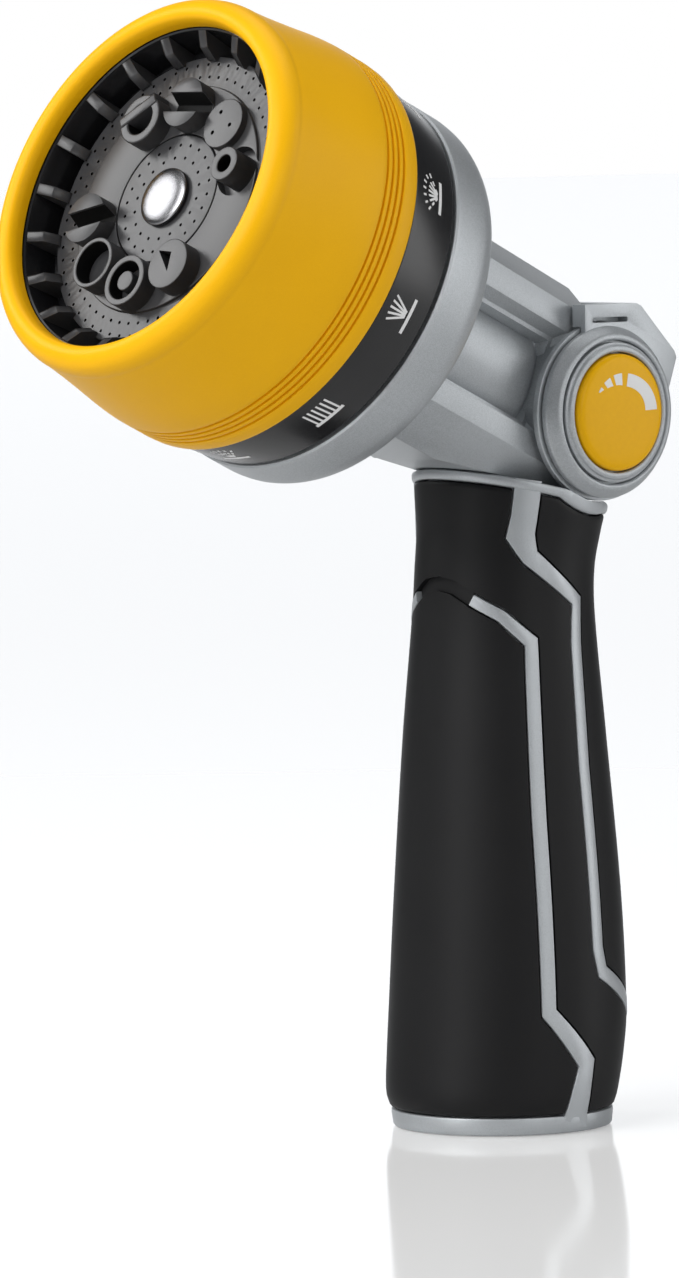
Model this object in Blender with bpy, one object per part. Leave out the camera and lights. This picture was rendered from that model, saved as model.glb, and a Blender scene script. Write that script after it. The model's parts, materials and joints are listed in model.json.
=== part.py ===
"""Hose spray nozzle: pistol grip, thumb flow lever and ten-position spray dial.

Metres, +Z up the handle, spray towards -Y and upwards, X = 0 is the plane of symmetry.
The spray head is modelled in its own frame: local +Z is the spray direction, local +Y is up the face.
"""

from math import cos, pi, radians, sin

import bmesh
import bpy
from mathutils import Matrix, Vector

MM = 0.001

# --- driving dimensions -------------------------------------------------------------------------
GAP = 0.3 * MM  # clearance between neighbouring pieces
WALL = 2.0 * MM  # skirt, collar and cup walls

HANDLE_Y = 35.6 * MM  # puts the origin under the middle of the whole tool
HEAD_AXIS_Z = 133.2 * MM  # where the spray axis crosses the handle axis
HEAD_TILT = radians(24.7)
HUB_BEHIND_HANDLE = 10.5 * MM
HUB_Z = 129.1 * MM

# Grip: height, radius and set-back of the outer surface.
GRIP_STATIONS = [
    (0.0, 19.8, -0.3),
    (3.2, 20.2, -0.4),
    (6.0, 21.0, -0.4),
    (13.0, 21.5, 0.5),
    (20.5, 21.6, 1.2),
    (42.0, 20.6, 1.5),
    (71.0, 18.4, 1.2),
    (93.0, 16.5, 1.3),
    (101.0, 16.3, 1.7),
    (107.5, 16.7, 2.8),
    (112.0, 17.3, 3.4),
    (124.0, 18.0, 3.6),
]
GRIP_SKIN = 2.0 * MM  # thickness of the rubber
GRIP_TOP_Z = 115.9 * MM  # height of the grip's top edge on the handle axis
GRIP_TOP_SLOPE = radians(13.5)
LIP_THICKNESS = 1.8 * MM
BASE_RING_HEIGHT = 3.2 * MM
GROOVE_DEPTH = 0.9 * MM

# Each metal stripe: angle round the grip from the front, height, and width there.
REAR_STRIPE = [
    (57, 117.5, 5.0),
    (54, 107.6, 5.0),
    (60, 104.2, 3.6),
    (100, 95.4, 2.8),
    (97.5, 88.0, 2.8),
    (96, 66.0, 2.8),
    (97, 33.0, 2.8),
    (100, 28.6, 2.8),
    (140, 20.4, 2.8),
    (186, 17.5, 2.8),
]
FRONT_STRIPE = [
    (26, 96.0, 2.2),
    (45, 93.0, 2.4),
    (64, 88.0, 2.8),
    (64.5, 57.0, 2.8),
    (67, 22.0, 2.8),
    (90, 12.6, 3.6),
    (88.5, 1.5, 6.0),
]
FRONT_GROOVE = [(-26, 96.0, 2.6), (-12, 98.2, 2.6), (0, 98.8, 2.6), (12, 98.2, 2.6), (26, 96.0, 2.6)]

# Water way, from the hose up.
SOCKET_RADIUS = 16.7 * MM
SOCKET_DEPTH = 19.0 * MM
THREAD_RADIUS = 13.6 * MM
THREAD_RIDGE = 1.0 * MM
THREAD_PITCH = 2.2 * MM
TUBE_RADIUS = 8.0 * MM
TUBE_BORE = 6.0 * MM
TUBE_BOTTOM, TUBE_TOP = 23.0 * MM, 93.0 * MM
SPIGOT_RADIUS = 12.0 * MM
SPIGOT_BOTTOM = 83.0 * MM
PIN_Z = 99.0 * MM
PIN_RADIUS = 1.6 * MM

# Cross barrel, valve spool and thumb lever, measured out from the middle plane.
BARREL_RADIUS = 14.4 * MM
BARREL_HALF = 16.7 * MM
BARREL_RIM = 16.0 * MM
SPOOL_RADIUS = 8.6 * MM
SPOOL_NOTCH = 2.5 * MM
PORT_RADIUS = 4.4 * MM
KEY_RADIUS = 5.0 * MM
LEVER_DISC = 15.5 * MM
LEVER_FACE = 13.9 * MM
LEVER_CHEEK = 3.3 * MM
LEVER_RECESS = 12.9 * MM
LEVER_TRAVEL = radians(60)
CAP_RADIUS = 10.55 * MM
CAP_FACE = 22.0 * MM
ROOF_HALF_WIDTH = 18.2 * MM

# Spray head, measured along the spray axis.
COLLAR_RADIUS = 36.0 * MM
COLLAR_FRONT = 50.2 * MM
COLLAR_HOLE = 23.4 * MM
PLATE_BACK = 44.6 * MM
SELECTOR_BACK = 56.9 * MM
SELECTOR_THICKNESS = 2.7 * MM
BLOCK_FRONT = 82.0 * MM
FACE_FRONT = 86.1 * MM
FACE_STEP = 0.6 * MM
NOZZLE_FRONT = 89.5 * MM
CUP_FRONT = 90.6 * MM
ICON_BACK, ICON_FRONT = 50.9 * MM, 62.0 * MM
CUP_RADIUS = 33.0 * MM
CAVITY_RADIUS = 27.6 * MM
PATTERN_CIRCLE = 16.9 * MM
PATTERN_COUNT = 10
PATTERN_START = 18  # degrees round the face from +X to the first nozzle
NOZZLE_RADIUS = 4.65 * MM
SPINDLE_RADIUS = 5.2 * MM
ROSE_RADIUS = 12.0 * MM
DOME_RADIUS = 5.45 * MM
RIB_COUNT = 20
SCREW_CIRCLE = 24.0 * MM

SMOOTH = 36  # segments of the dial's and collar's outside
ROUND = 32  # segments of the other large turned shapes
MEDIUM = 20
FINE = 16
TINY = 8  # segments of bores and screws

# --- frames -------------------------------------------------------------------------------------
HEAD_FRAME = Matrix.Translation((0, HANDLE_Y, HEAD_AXIS_Z)) @ Matrix.Rotation(pi / 2 - HEAD_TILT, 4, "X")
HANDLE_FRAME = Matrix.Translation((0, HANDLE_Y, 0))
HUB_FRAME = Matrix.Translation((0, HANDLE_Y + HUB_BEHIND_HANDLE, HUB_Z))
# Local +Z along world +X (right side) or -X (left side), still centred on the hub.
HUB_SIDES = {"right": HUB_FRAME @ Matrix.Rotation(pi / 2, 4, "Y"), "left": HUB_FRAME @ Matrix.Rotation(-pi / 2, 4, "Y")}

# --- colours ------------------------------------------------------------------------------------
FINISHES = {
    "silver": ((0.55, 0.57, 0.59), 0.38, 0.7),
    "rubber": ((0.012, 0.012, 0.013), 0.62, 0.0),
    "yellow": ((0.80, 0.50, 0.01), 0.45, 0.0),
    "gloss_black": ((0.008, 0.008, 0.009), 0.18, 0.0),
    "face_grey": ((0.13, 0.13, 0.14), 0.42, 0.0),
    "chrome": ((0.85, 0.86, 0.87), 0.08, 1.0),
    "brass": ((0.72, 0.52, 0.24), 0.3, 1.0),
    "steel": ((0.6, 0.6, 0.62), 0.28, 1.0),
    "acetal": ((0.75, 0.74, 0.70), 0.4, 0.0),
    "seal": ((0.03, 0.03, 0.03), 0.7, 0.0),
}


def clear_scene():
    for obj in list(bpy.data.objects):
        bpy.data.objects.remove(obj, do_unlink=True)


def make_collection(name):
    collection = bpy.data.collections.new(name)
    bpy.context.scene.collection.children.link(collection)
    return collection


def finish(name):
    """The Principled material of that finish, made once."""
    if name in bpy.data.materials:
        return bpy.data.materials[name]
    colour, roughness, metallic = FINISHES[name]
    material = bpy.data.materials.new(name)
    material.use_nodes = True
    shader = material.node_tree.nodes["Principled BSDF"]
    shader.inputs["Base Color"].default_value = (*colour, 1)
    shader.inputs["Roughness"].default_value = roughness
    shader.inputs["Metallic"].default_value = metallic
    return material


# --- shape helpers ------------------------------------------------------------------------------
def place(name, bm, frame, material=None):
    """An object of that bmesh: a part with its material, or a hidden cutter."""
    bmesh.ops.recalc_face_normals(bm, faces=bm.faces)
    mesh = bpy.data.meshes.new(name)
    bm.to_mesh(mesh)
    bm.free()
    obj = bpy.data.objects.new(name, mesh)
    obj.matrix_world = frame
    if material:
        PARTS.objects.link(obj)
        mesh.materials.append(finish(material))
    else:
        CUTTERS.objects.link(obj)
        obj.hide_render = True
        obj.display_type = "WIRE"
    return obj


def turned(name, profile, frame, material=None, segments=ROUND):
    """A solid turned about local Z from a closed (radius, height) profile."""
    bm = bmesh.new()
    verts = [bm.verts.new((radius, 0, height)) for radius, height in profile]
    edges = []
    for first, second in zip(verts, verts[1:] + verts[:1]):
        if first.co.x > 0 or second.co.x > 0:
            edges.append(bm.edges.new((first, second)))
    bmesh.ops.spin(bm, geom=verts + edges, cent=(0, 0, 0), axis=(0, 0, 1), angle=2 * pi, steps=segments, use_merge=True)
    bmesh.ops.remove_doubles(bm, verts=bm.verts, dist=1e-7)
    return place(name, bm, frame, material)


def rod_profile(radius, low, high):
    return [(0, low), (radius, low), (radius, high), (0, high)]


def ring_profile(outer, inner, low, high):
    return [(inner, low), (outer, low), (outer, high), (inner, high)]


def rods(name, spots, radius, low, high, frame, material=None, segments=FINE):
    """Equal cylinders along local Z, one at each (x, y) spot."""
    bm = bmesh.new()
    for x, y in spots:
        where = Matrix.Translation((x, y, (low + high) / 2))
        bmesh.ops.create_cone(
            bm, cap_ends=True, segments=segments, radius1=radius, radius2=radius, depth=high - low, matrix=where
        )
    return place(name, bm, frame, material)


def box(name, low, high, frame, material=None):
    """A box between two corners of the frame."""
    bm = bmesh.new()
    size = [b - a for a, b in zip(low, high)]
    middle = [(a + b) / 2 for a, b in zip(low, high)]
    bmesh.ops.create_cube(bm, size=1, matrix=Matrix.Translation(middle) @ Matrix.Diagonal((*size, 1)))
    return place(name, bm, frame, material)


def prism(name, outline, low, high, frame, material=None, end_scale=1.0):
    """A flat outline of (x, y) points raised along local Z, its far end scaled about the axis."""
    bm = bmesh.new()
    face = bm.faces.new([bm.verts.new((x, y, low)) for x, y in outline])
    raised = bmesh.ops.extrude_face_region(bm, geom=[face])["geom"]
    top = [item for item in raised if isinstance(item, bmesh.types.BMVert)]
    for vert in top:
        vert.co = Vector((vert.co.x * end_scale, vert.co.y * end_scale, high))
    return place(name, bm, frame, material)


def torus(name, radius, wire, height, frame, material):
    """A rubber ring about local Z."""
    profile = [
        (radius + wire * cos(turn), height + wire * sin(turn)) for turn in [2 * pi * i / 6 for i in range(6)]
    ]
    return turned(name, profile, frame, material, FINE)


def coil_spring(name, radius, wire, low, high, turns, spot, frame, material):
    """A helical spring about a line along local Z through the spot."""
    steps = 8 * turns
    rise = high - low - 2 * wire
    bm = bmesh.new()
    before = None
    for i in range(steps + 1):
        turn = 2 * pi * turns * i / steps
        centre = Vector((spot[0] + radius * cos(turn), spot[1] + radius * sin(turn), low + wire + rise * i / steps))
        out = Vector((cos(turn), sin(turn), 0))
        loop = []
        for j in range(5):
            around = 2 * pi * j / 5
            loop.append(bm.verts.new(centre + wire * (cos(around) * out + sin(around) * Vector((0, 0, 1)))))
        edges = [bm.edges.new((a, b)) for a, b in zip(loop, loop[1:] + loop[:1])]
        if before:
            bmesh.ops.bridge_loops(bm, edges=before + edges)
        else:
            bm.faces.new(loop)
        before = edges
    bm.faces.new(loop)
    return place(name, bm, frame, material)


def combine(target, tool, operation):
    modifier = target.modifiers.new(f"{operation.lower()}_{tool.name}"[:60], "BOOLEAN")
    modifier.operation = operation
    modifier.solver = "EXACT"
    modifier.object = tool


def cut(target, *tools):
    for tool in tools:
        combine(target, tool, "DIFFERENCE")


def join(target, *tools):
    for tool in tools:
        combine(target, tool, "UNION")


def circle_spots(radius, count, start=0.0):
    """Points evenly round a circle, the start in degrees from +X."""
    return [
        (radius * cos(radians(start) + 2 * pi * i / count), radius * sin(radians(start) + 2 * pi * i / count))
        for i in range(count)
    ]


def nozzle_spot(number):
    return circle_spots(PATTERN_CIRCLE, PATTERN_COUNT, PATTERN_START)[number]


# --- grip surface -------------------------------------------------------------------------------
def grip_at(height):
    """Radius and set-back of the grip's outer surface at that height."""
    below, above = GRIP_STATIONS[0], GRIP_STATIONS[-1]
    for low, high in zip(GRIP_STATIONS, GRIP_STATIONS[1:]):
        if low[0] * MM <= height <= high[0] * MM:
            below, above = low, high
            break
    share = (height / MM - below[0]) / (above[0] - below[0])
    share = min(max(share, 0), 1)
    return tuple((a + (b - a) * share) * MM for a, b in zip(below[1:], above[1:]))


def grip_loft(name, inset, low, high, material=None):
    """The grip's outline moved inwards by the inset, between two heights."""
    heights = [low] + [z * MM for z, _, _ in GRIP_STATIONS if low < z * MM < high] + [high]
    bm = bmesh.new()
    before = None
    for height in heights:
        radius, setback = grip_at(height)
        loop = [bm.verts.new((x, y + setback, height)) for x, y in circle_spots(radius - inset, ROUND)]
        edges = [bm.edges.new((a, b)) for a, b in zip(loop, loop[1:] + loop[:1])]
        if before:
            bmesh.ops.bridge_loops(bm, edges=before + edges)
        else:
            bm.faces.new(loop)
        before = edges
    bm.faces.new(loop)
    return place(name, bm, HANDLE_FRAME, material)


def along(path):
    """The stripe's stations with extra ones between, so that it follows the round grip."""
    fine = []
    for (a0, z0, w0), (a1, z1, w1) in zip(path, path[1:]):
        steps = max(1, round(max(abs(a1 - a0) / 9, abs(z1 - z0) / 14)))
        for i in range(steps):
            t = i / steps
            fine.append((a0 + (a1 - a0) * t, z0 + (z1 - z0) * t, w0 + (w1 - w0) * t))
    return fine + [path[-1]]


def wrapped_band(name, path, extra, inner, outer, mirror=False):
    """A band laid along the path on the grip, from `inner` to `outer` above its surface."""
    side = -1 if mirror else 1
    stations = [(side * radians(angle), z * MM, width * MM + 2 * extra) for angle, z, width in along(path)]
    bm = bmesh.new()
    rims = []
    for i, (angle, z, width) in enumerate(stations):
        radius = grip_at(z)[0]
        back, ahead = stations[max(i - 1, 0)], stations[min(i + 1, len(stations) - 1)]
        direction = Vector(((ahead[0] - back[0]) * radius, ahead[1] - back[1])).normalized()
        across = Vector((-direction.y, direction.x)) * width / 2
        ends = direction * extra * ((i == len(stations) - 1) - (i == 0))
        rims.append(
            [((angle * radius + sign * across.x + ends.x) / radius, z + sign * across.y + ends.y) for sign in (1, -1)]
        )
    columns = [[bm.verts.new((turn, height, 0)) for turn, height in rim] for rim in rims]
    faces = [bm.faces.new((a[0], a[1], b[1], b[0])) for a, b in zip(columns, columns[1:])]
    raised = bmesh.ops.extrude_face_region(bm, geom=faces)["geom"]
    for item in raised:
        if isinstance(item, bmesh.types.BMVert):
            item.co.z = 1
    for vert in bm.verts:
        turn, height, level = vert.co
        radius, setback = grip_at(height)
        reach = radius + (outer if level else inner)
        vert.co = Vector((reach * sin(turn), setback - reach * cos(turn), height))
    return place(name, bm, HANDLE_FRAME)


def above_grip_top(name, lift):
    """Everything over the grip's sloping top edge, raised by the lift."""
    frame = HANDLE_FRAME @ Matrix.Translation((0, 0, GRIP_TOP_Z + lift)) @ Matrix.Rotation(-GRIP_TOP_SLOPE, 4, "X")
    return box(name, (-0.05, -0.05, 0), (0.05, 0.05, 0.05), frame)


def barrel_space(name):
    """The room that the cross barrel and the lever's discs need in their neighbours."""
    return turned(name, rod_profile(BARREL_RIM + GAP, -CAP_FACE, CAP_FACE), HUB_SIDES["right"])


# --- handle -------------------------------------------------------------------------------------
def stripe_cutters(extra, inner, outer, tag):
    bands = []
    for mirror in (False, True):
        side = "left" if mirror else "right"
        bands.append(wrapped_band(f"rear_stripe_{tag}_{side}", REAR_STRIPE, extra, inner, outer, mirror))
        bands.append(wrapped_band(f"front_stripe_{tag}_{side}", FRONT_STRIPE, extra, inner, outer, mirror))
    return bands


def make_handle_core():
    """Metal core of the grip with its lip, stripes and base ring."""
    core = grip_loft("handle_core", GRIP_SKIN, 0, 122 * MM, "silver")
    ring = grip_loft("base_ring_form", 0, 0, BASE_RING_HEIGHT)
    lip = grip_loft("lip_form", -GAP, 105 * MM, 123 * MM)
    lip_floor = above_grip_top("lip_floor", -LIP_THICKNESS)
    combine(lip, lip_floor, "INTERSECT")
    bands = stripe_cutters(0, -GRIP_SKIN - 0.6 * MM, 0, "metal")
    join(core, ring, lip, *bands)
    bore = turned(
        "handle_bore",
        [
            (0, -1 * MM),
            (SOCKET_RADIUS + GAP, -1 * MM),
            (SOCKET_RADIUS + GAP, SOCKET_DEPTH + 1 * MM),
            (SPIGOT_RADIUS + GAP, SOCKET_DEPTH + 4 * MM),
            (SPIGOT_RADIUS + GAP, 130 * MM),
            (0, 130 * MM),
        ],
        HANDLE_FRAME,
    )
    cut(core, above_grip_top("core_top", 0), bore, barrel_space("barrel_in_core"), pin_hole("pin_in_core"))
    return core


def pin_hole(name):
    reach = (SPIGOT_RADIUS - 2.6 * MM, SPIGOT_RADIUS + 8 * MM)
    frame = HANDLE_FRAME @ Matrix.Translation((0, 0, PIN_Z)) @ Matrix.Rotation(-pi / 2, 4, "X")
    return rods(name, [(0, 0)], PIN_RADIUS + GAP / 2, *reach, frame, segments=TINY)


def make_retaining_pin():
    """Pin through the back of the core that keeps the casting's spigot in."""
    frame = HANDLE_FRAME @ Matrix.Translation((0, 0, PIN_Z)) @ Matrix.Rotation(-pi / 2, 4, "X")
    ends = (SPIGOT_RADIUS - 2.3 * MM, SPIGOT_RADIUS + 3.4 * MM)
    return rods("retaining_pin", [(0, 0)], PIN_RADIUS, *ends, frame, "steel", TINY)


def make_grip(name, rear):
    """Rubber over the core: the rear panel, or all that lies in front of it and below."""
    low = BASE_RING_HEIGHT + GAP
    grip = grip_loft(name, 0, low, 121 * MM, "rubber")
    tag = "rear" if rear else "front"
    cut(grip, grip_loft(f"core_in_{tag}", GRIP_SKIN - GAP, low - 5 * MM, 124 * MM))
    cut(grip, above_grip_top(f"lip_in_{tag}", -LIP_THICKNESS - GAP), barrel_space(f"barrel_in_{tag}"))
    cut(grip, *stripe_cutters(GAP, -GRIP_SKIN - 3 * MM, 3 * MM, tag))
    panel = panel_sector(f"panel_in_{tag}")
    if rear:
        combine(grip, panel, "INTERSECT")
    else:
        groove = wrapped_band("front_groove", FRONT_GROOVE, 0, -GROOVE_DEPTH, 3 * MM)
        cut(grip, panel, groove)
    return grip


def panel_sector(name):
    """The part of space behind the rear stripes: sectors stacked up the grip."""
    bm = bmesh.new()
    stations = [(angle, z) for angle, z, _ in along(REAR_STRIPE) if angle <= 176]
    stations[0] = (stations[0][0], 125)
    rows = []
    for angle, z in stations:
        radius, setback = grip_at(z * MM)
        turns = [radians(angle + (360 - 2 * angle) * i / 12) for i in range(13)]
        outline = [(30 * MM * sin(turn), setback - 30 * MM * cos(turn)) for turn in turns]
        inside = [(3 * MM * sin(turn), setback - 3 * MM * cos(turn)) for turn in reversed(turns)]
        rows.append([bm.verts.new((x, y, z * MM)) for x, y in outline + inside])
    before = None
    for row in rows:
        edges = [bm.edges.new((a, b)) for a, b in zip(row, row[1:] + row[:1])]
        if before:
            bmesh.ops.bridge_loops(bm, edges=before + edges)
        before = edges
    bm.faces.new(rows[0])
    bm.faces.new(rows[-1])
    return place(name, bm, HANDLE_FRAME)


# --- water way ----------------------------------------------------------------------------------
def make_inlet_socket():
    """Hose coupling pressed into the foot of the handle; its thread is drawn as rings."""
    top = SOCKET_DEPTH
    profile = [(SOCKET_RADIUS, 0.6 * MM), (SOCKET_RADIUS, top), (SPIGOT_RADIUS - 0.4 * MM, top + 3 * MM)]
    profile += [(SPIGOT_RADIUS - 0.4 * MM, top + 10 * MM), (TUBE_RADIUS + GAP, top + 10 * MM)]
    profile += [(TUBE_RADIUS + GAP, top + 9 * MM), (TUBE_RADIUS + 2.2 * MM, top + 9 * MM)]
    profile += [(TUBE_RADIUS + 2.2 * MM, top + 6 * MM), (TUBE_RADIUS + GAP, top + 6 * MM)]
    profile += [(TUBE_RADIUS + GAP, top + 3 * MM), (TUBE_BORE, top + 3 * MM), (TUBE_BORE, top - 2 * MM)]
    profile += [(THREAD_RADIUS, top - 2 * MM)]
    for ridge in range(3):
        middle = top - 8.4 * MM - ridge * THREAD_PITCH
        profile += [(THREAD_RADIUS, middle + 0.8 * MM), (THREAD_RADIUS - THREAD_RIDGE, middle + 0.2 * MM)]
        profile += [(THREAD_RADIUS - THREAD_RIDGE, middle - 0.2 * MM), (THREAD_RADIUS, middle - 0.8 * MM)]
    profile += [(THREAD_RADIUS, 1.4 * MM), (THREAD_RADIUS + 0.8 * MM, 0.6 * MM)]
    return turned("inlet_socket", profile, HANDLE_FRAME, "brass", MEDIUM)


def make_hose_washer():
    low = SOCKET_DEPTH - 6.2 * MM
    profile = ring_profile(THREAD_RADIUS - GAP, TUBE_RADIUS, low, low + 2.4 * MM)
    return turned("hose_washer", profile, HANDLE_FRAME, "seal", MEDIUM)


def make_filter_screen():
    """Domed strainer that sits on the hose washer."""
    low = SOCKET_DEPTH - 3.5 * MM
    rim = THREAD_RADIUS - GAP
    dome = 7.5 * MM
    profile = [(0, low - 3 * MM), (4 * MM, low - 2.4 * MM), (dome, low), (rim, low), (rim, low + 1 * MM)]
    profile += [(dome, low + 1 * MM), (4 * MM, low - 1.4 * MM), (0, low - 2 * MM)]
    screen = turned("filter_screen", profile, HANDLE_FRAME, "steel", FINE)
    spots = circle_spots(3.4 * MM, 8)
    cut(screen, rods("screen_holes", spots, 0.8 * MM, low - 5 * MM, low + 3 * MM, HANDLE_FRAME, segments=6))
    return screen


def make_water_tube():
    profile = ring_profile(TUBE_RADIUS, TUBE_BORE, TUBE_BOTTOM, TUBE_TOP)
    return turned("water_tube", profile, HANDLE_FRAME, "acetal", MEDIUM)


def make_tube_o_rings():
    middle = TUBE_RADIUS + 1.05 * MM
    torus("tube_o_ring_lower", middle, 0.85 * MM, SOCKET_DEPTH + 7.5 * MM, HANDLE_FRAME, "seal")
    torus("tube_o_ring_upper", middle, 0.85 * MM, SPIGOT_BOTTOM + 4.5 * MM, HANDLE_FRAME, "seal")


# --- body casting -------------------------------------------------------------------------------
NECK_OUTLINE = [(7.0, 21.0), (14.0, 15.6), (14.0, -12.4), (8.0, -19.6)]


def neck_outline():
    right = [(x * MM, y * MM) for x, y in NECK_OUTLINE]
    return right + [(-x, y) for x, y in reversed(right)]


def make_neck_casting():
    """Neck, cross barrel, front flange and handle spigot in one casting."""
    neck = prism("neck_casting", neck_outline(), -14 * MM, 41 * MM, HEAD_FRAME, "silver", end_scale=1.04)
    behind = (HUB_BEHIND_HANDLE - 5.9 * MM, HUB_Z + 4 * MM)
    trims = [
        box("neck_end", (-0.03, behind[0], behind[1]), (0.03, 0.05, 0.18), HANDLE_FRAME),
        box("neck_rear", (-0.03, HUB_BEHIND_HANDLE - 2 * MM, 0.08), (0.03, 0.05, 0.18), HANDLE_FRAME),
        below_neck("neck_underside"),
    ]
    recesses = [
        box(f"neck_recess_{side}", (low, -7 * MM, 0), (high, 8.2 * MM, 23.5 * MM), HEAD_FRAME)
        for side, low, high in (("right", 9 * MM, 20 * MM), ("left", -20 * MM, -9 * MM))
    ]
    cut(neck, *trims, *recesses)
    flow_tube = turned("flow_tube_form", rod_profile(12.2 * MM, -3 * MM, 30 * MM), HEAD_FRAME, segments=MEDIUM)
    cut(flow_tube, box("flow_tube_trim", (-0.03, -7.6 * MM, -0.02), (0.03, -0.03, 0.04), HEAD_FRAME))
    flange = turned("flange_form", rod_profile(30.0 * MM, 40.0 * MM, 43.2 * MM), HEAD_FRAME)
    boss = turned("collar_boss_form", rod_profile(COLLAR_HOLE - GAP, 33.6 * MM, 41.0 * MM), HEAD_FRAME)
    rim = BARREL_HALF - 1.3 * MM
    barrel = turned(
        "barrel_form",
        [(0, -BARREL_HALF), (BARREL_RIM, -BARREL_HALF), (BARREL_RIM, -rim), (BARREL_RADIUS, -rim)]
        + [(BARREL_RADIUS, rim), (BARREL_RIM, rim), (BARREL_RIM, BARREL_HALF), (0, BARREL_HALF)],
        HUB_SIDES["right"],
    )
    spigot = turned("spigot_form", rod_profile(SPIGOT_RADIUS, SPIGOT_BOTTOM, 122 * MM), HANDLE_FRAME, segments=MEDIUM)
    join(neck, flow_tube, flange, boss, barrel, spigot)
    cut(neck, *casting_bores())
    return neck


def below_neck(name):
    """Takes away what would dip into the handle's lip."""
    frame = HANDLE_FRAME @ Matrix.Translation((0, 0, GRIP_TOP_Z + GAP)) @ Matrix.Rotation(-GRIP_TOP_SLOPE, 4, "X")
    return box(name, (-0.05, -0.023, -0.05), (0.05, 0.05, 0), frame)


def casting_bores():
    barrel = turned(
        "barrel_bore", rod_profile(SPOOL_RADIUS + GAP, -BARREL_HALF - 1 * MM, BARREL_HALF + 1 * MM), HUB_SIDES["right"]
    )
    # Turned a few degrees, so that the crossing bores share no edge on the middle plane.
    off_plane = Matrix.Rotation(radians(4), 4, "Z")
    outlet = turned("outlet_bore", rod_profile(PORT_RADIUS, -7 * MM, 47 * MM), HEAD_FRAME @ off_plane, segments=FINE)
    low = SPIGOT_BOTTOM
    inlet = turned(
        "inlet_bore",
        [(0, low - 1 * MM), (TUBE_RADIUS + GAP, low - 1 * MM), (TUBE_RADIUS + GAP, low + 3 * MM)]
        + [(TUBE_RADIUS + 2.2 * MM, low + 3 * MM), (TUBE_RADIUS + 2.2 * MM, low + 6 * MM)]
        + [(TUBE_RADIUS + GAP, low + 6 * MM), (TUBE_RADIUS + GAP, TUBE_TOP + GAP), (TUBE_BORE, TUBE_TOP + GAP)]
        + [(TUBE_BORE, 122 * MM), (0, 122 * MM)],
        HANDLE_FRAME @ off_plane,
        segments=FINE,
    )
    spots = circle_spots(SCREW_CIRCLE, 4, 45)
    screws = rods("flange_holes", spots, 1.4 * MM + GAP, 38 * MM, 46 * MM, HEAD_FRAME, segments=TINY)
    return screws, pin_hole("pin_in_spigot"), outlet, inlet, barrel


# --- thumb valve --------------------------------------------------------------------------------
def make_valve_spool():
    """Cross spool whose notch joins the inlet to the outlet when the lever is back."""
    right = HUB_SIDES["right"]
    half = BARREL_HALF - GAP
    groove = (SPOOL_RADIUS - 1.4 * MM, 12 * MM, 14 * MM)
    profile = [(0, -half), (SPOOL_RADIUS, -half)]
    profile += [(SPOOL_RADIUS, -groove[2]), (groove[0], -groove[2]), (groove[0], -groove[1]), (SPOOL_RADIUS, -groove[1])]
    profile += [(SPOOL_RADIUS, groove[1]), (groove[0], groove[1]), (groove[0], groove[2]), (SPOOL_RADIUS, groove[2])]
    profile += [(SPOOL_RADIUS, half), (0, half)]
    spool = turned("valve_spool", profile, right, "acetal", MEDIUM)
    key = rods("spool_key_form", [(0, 0)], KEY_RADIUS, -BARREL_HALF - 1.7 * MM, BARREL_HALF + 1.7 * MM, right, segments=6)
    join(spool, key)
    # The notch faces forward and down once the lever is fully back.
    open_angle = radians(212.5) + LEVER_TRAVEL
    notch_frame = HUB_FRAME @ Matrix.Rotation(open_angle, 4, "X")
    notch = box("spool_notch", (-6 * MM, SPOOL_NOTCH, -12 * MM), (6 * MM, 12 * MM, 12 * MM), notch_frame)
    holes = [
        rods(f"spool_hole_{side}", [(0, 0)], 2.2 * MM, 9 * MM, 20 * MM, frame, segments=TINY)
        for side, frame in HUB_SIDES.items()
    ]
    cut(spool, notch, *holes)
    return spool


def make_thumb_lever():
    """Yoke over the barrel: two discs, a flat roof and a sloping thumb face behind."""
    outline = [(-5.4, 19.4), (7.4, 19.4), (8.6, 18.9), (16.9, 10.5), (17.4, 9.3), (15.2, 3.2), (8.0, 3.0), (-5.4, 12.0)]
    side_frame = HUB_FRAME @ Matrix(((0, 0, 1, 0), (1, 0, 0, 0), (0, 1, 0, 0), (0, 0, 0, 1)))
    roof = prism("thumb_lever", [(y * MM, z * MM) for y, z in outline], -ROOF_HALF_WIDTH, ROOF_HALF_WIDTH, side_frame, "silver")
    inside = BARREL_HALF + GAP
    outside = inside + LEVER_CHEEK
    space = turned("lever_space", rod_profile(BARREL_RIM + GAP, -inside, inside), HUB_SIDES["right"])
    cut(roof, space)
    discs = [
        turned(
            f"lever_disc_{side}",
            [(0, inside), (LEVER_DISC, inside), (LEVER_DISC, inside + 1.2 * MM), (LEVER_FACE, outside), (0, outside)],
            frame,
        )
        for side, frame in HUB_SIDES.items()
    ]
    join(roof, *discs)
    for side, frame in HUB_SIDES.items():
        recess = turned(f"lever_recess_{side}", rod_profile(LEVER_RECESS, inside + 1.9 * MM, outside + 1 * MM), frame)
        key = rods(f"lever_key_{side}", [(0, 0)], KEY_RADIUS + GAP, 14 * MM, 22 * MM, frame, segments=6)
        cut(roof, recess, key)
    slot = box("lever_slots", (-0.03, -3.5 * MM, 16.7 * MM), (0.03, 5.1 * MM, 17.9 * MM), HUB_FRAME)
    cut(roof, slot)
    return roof


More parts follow.
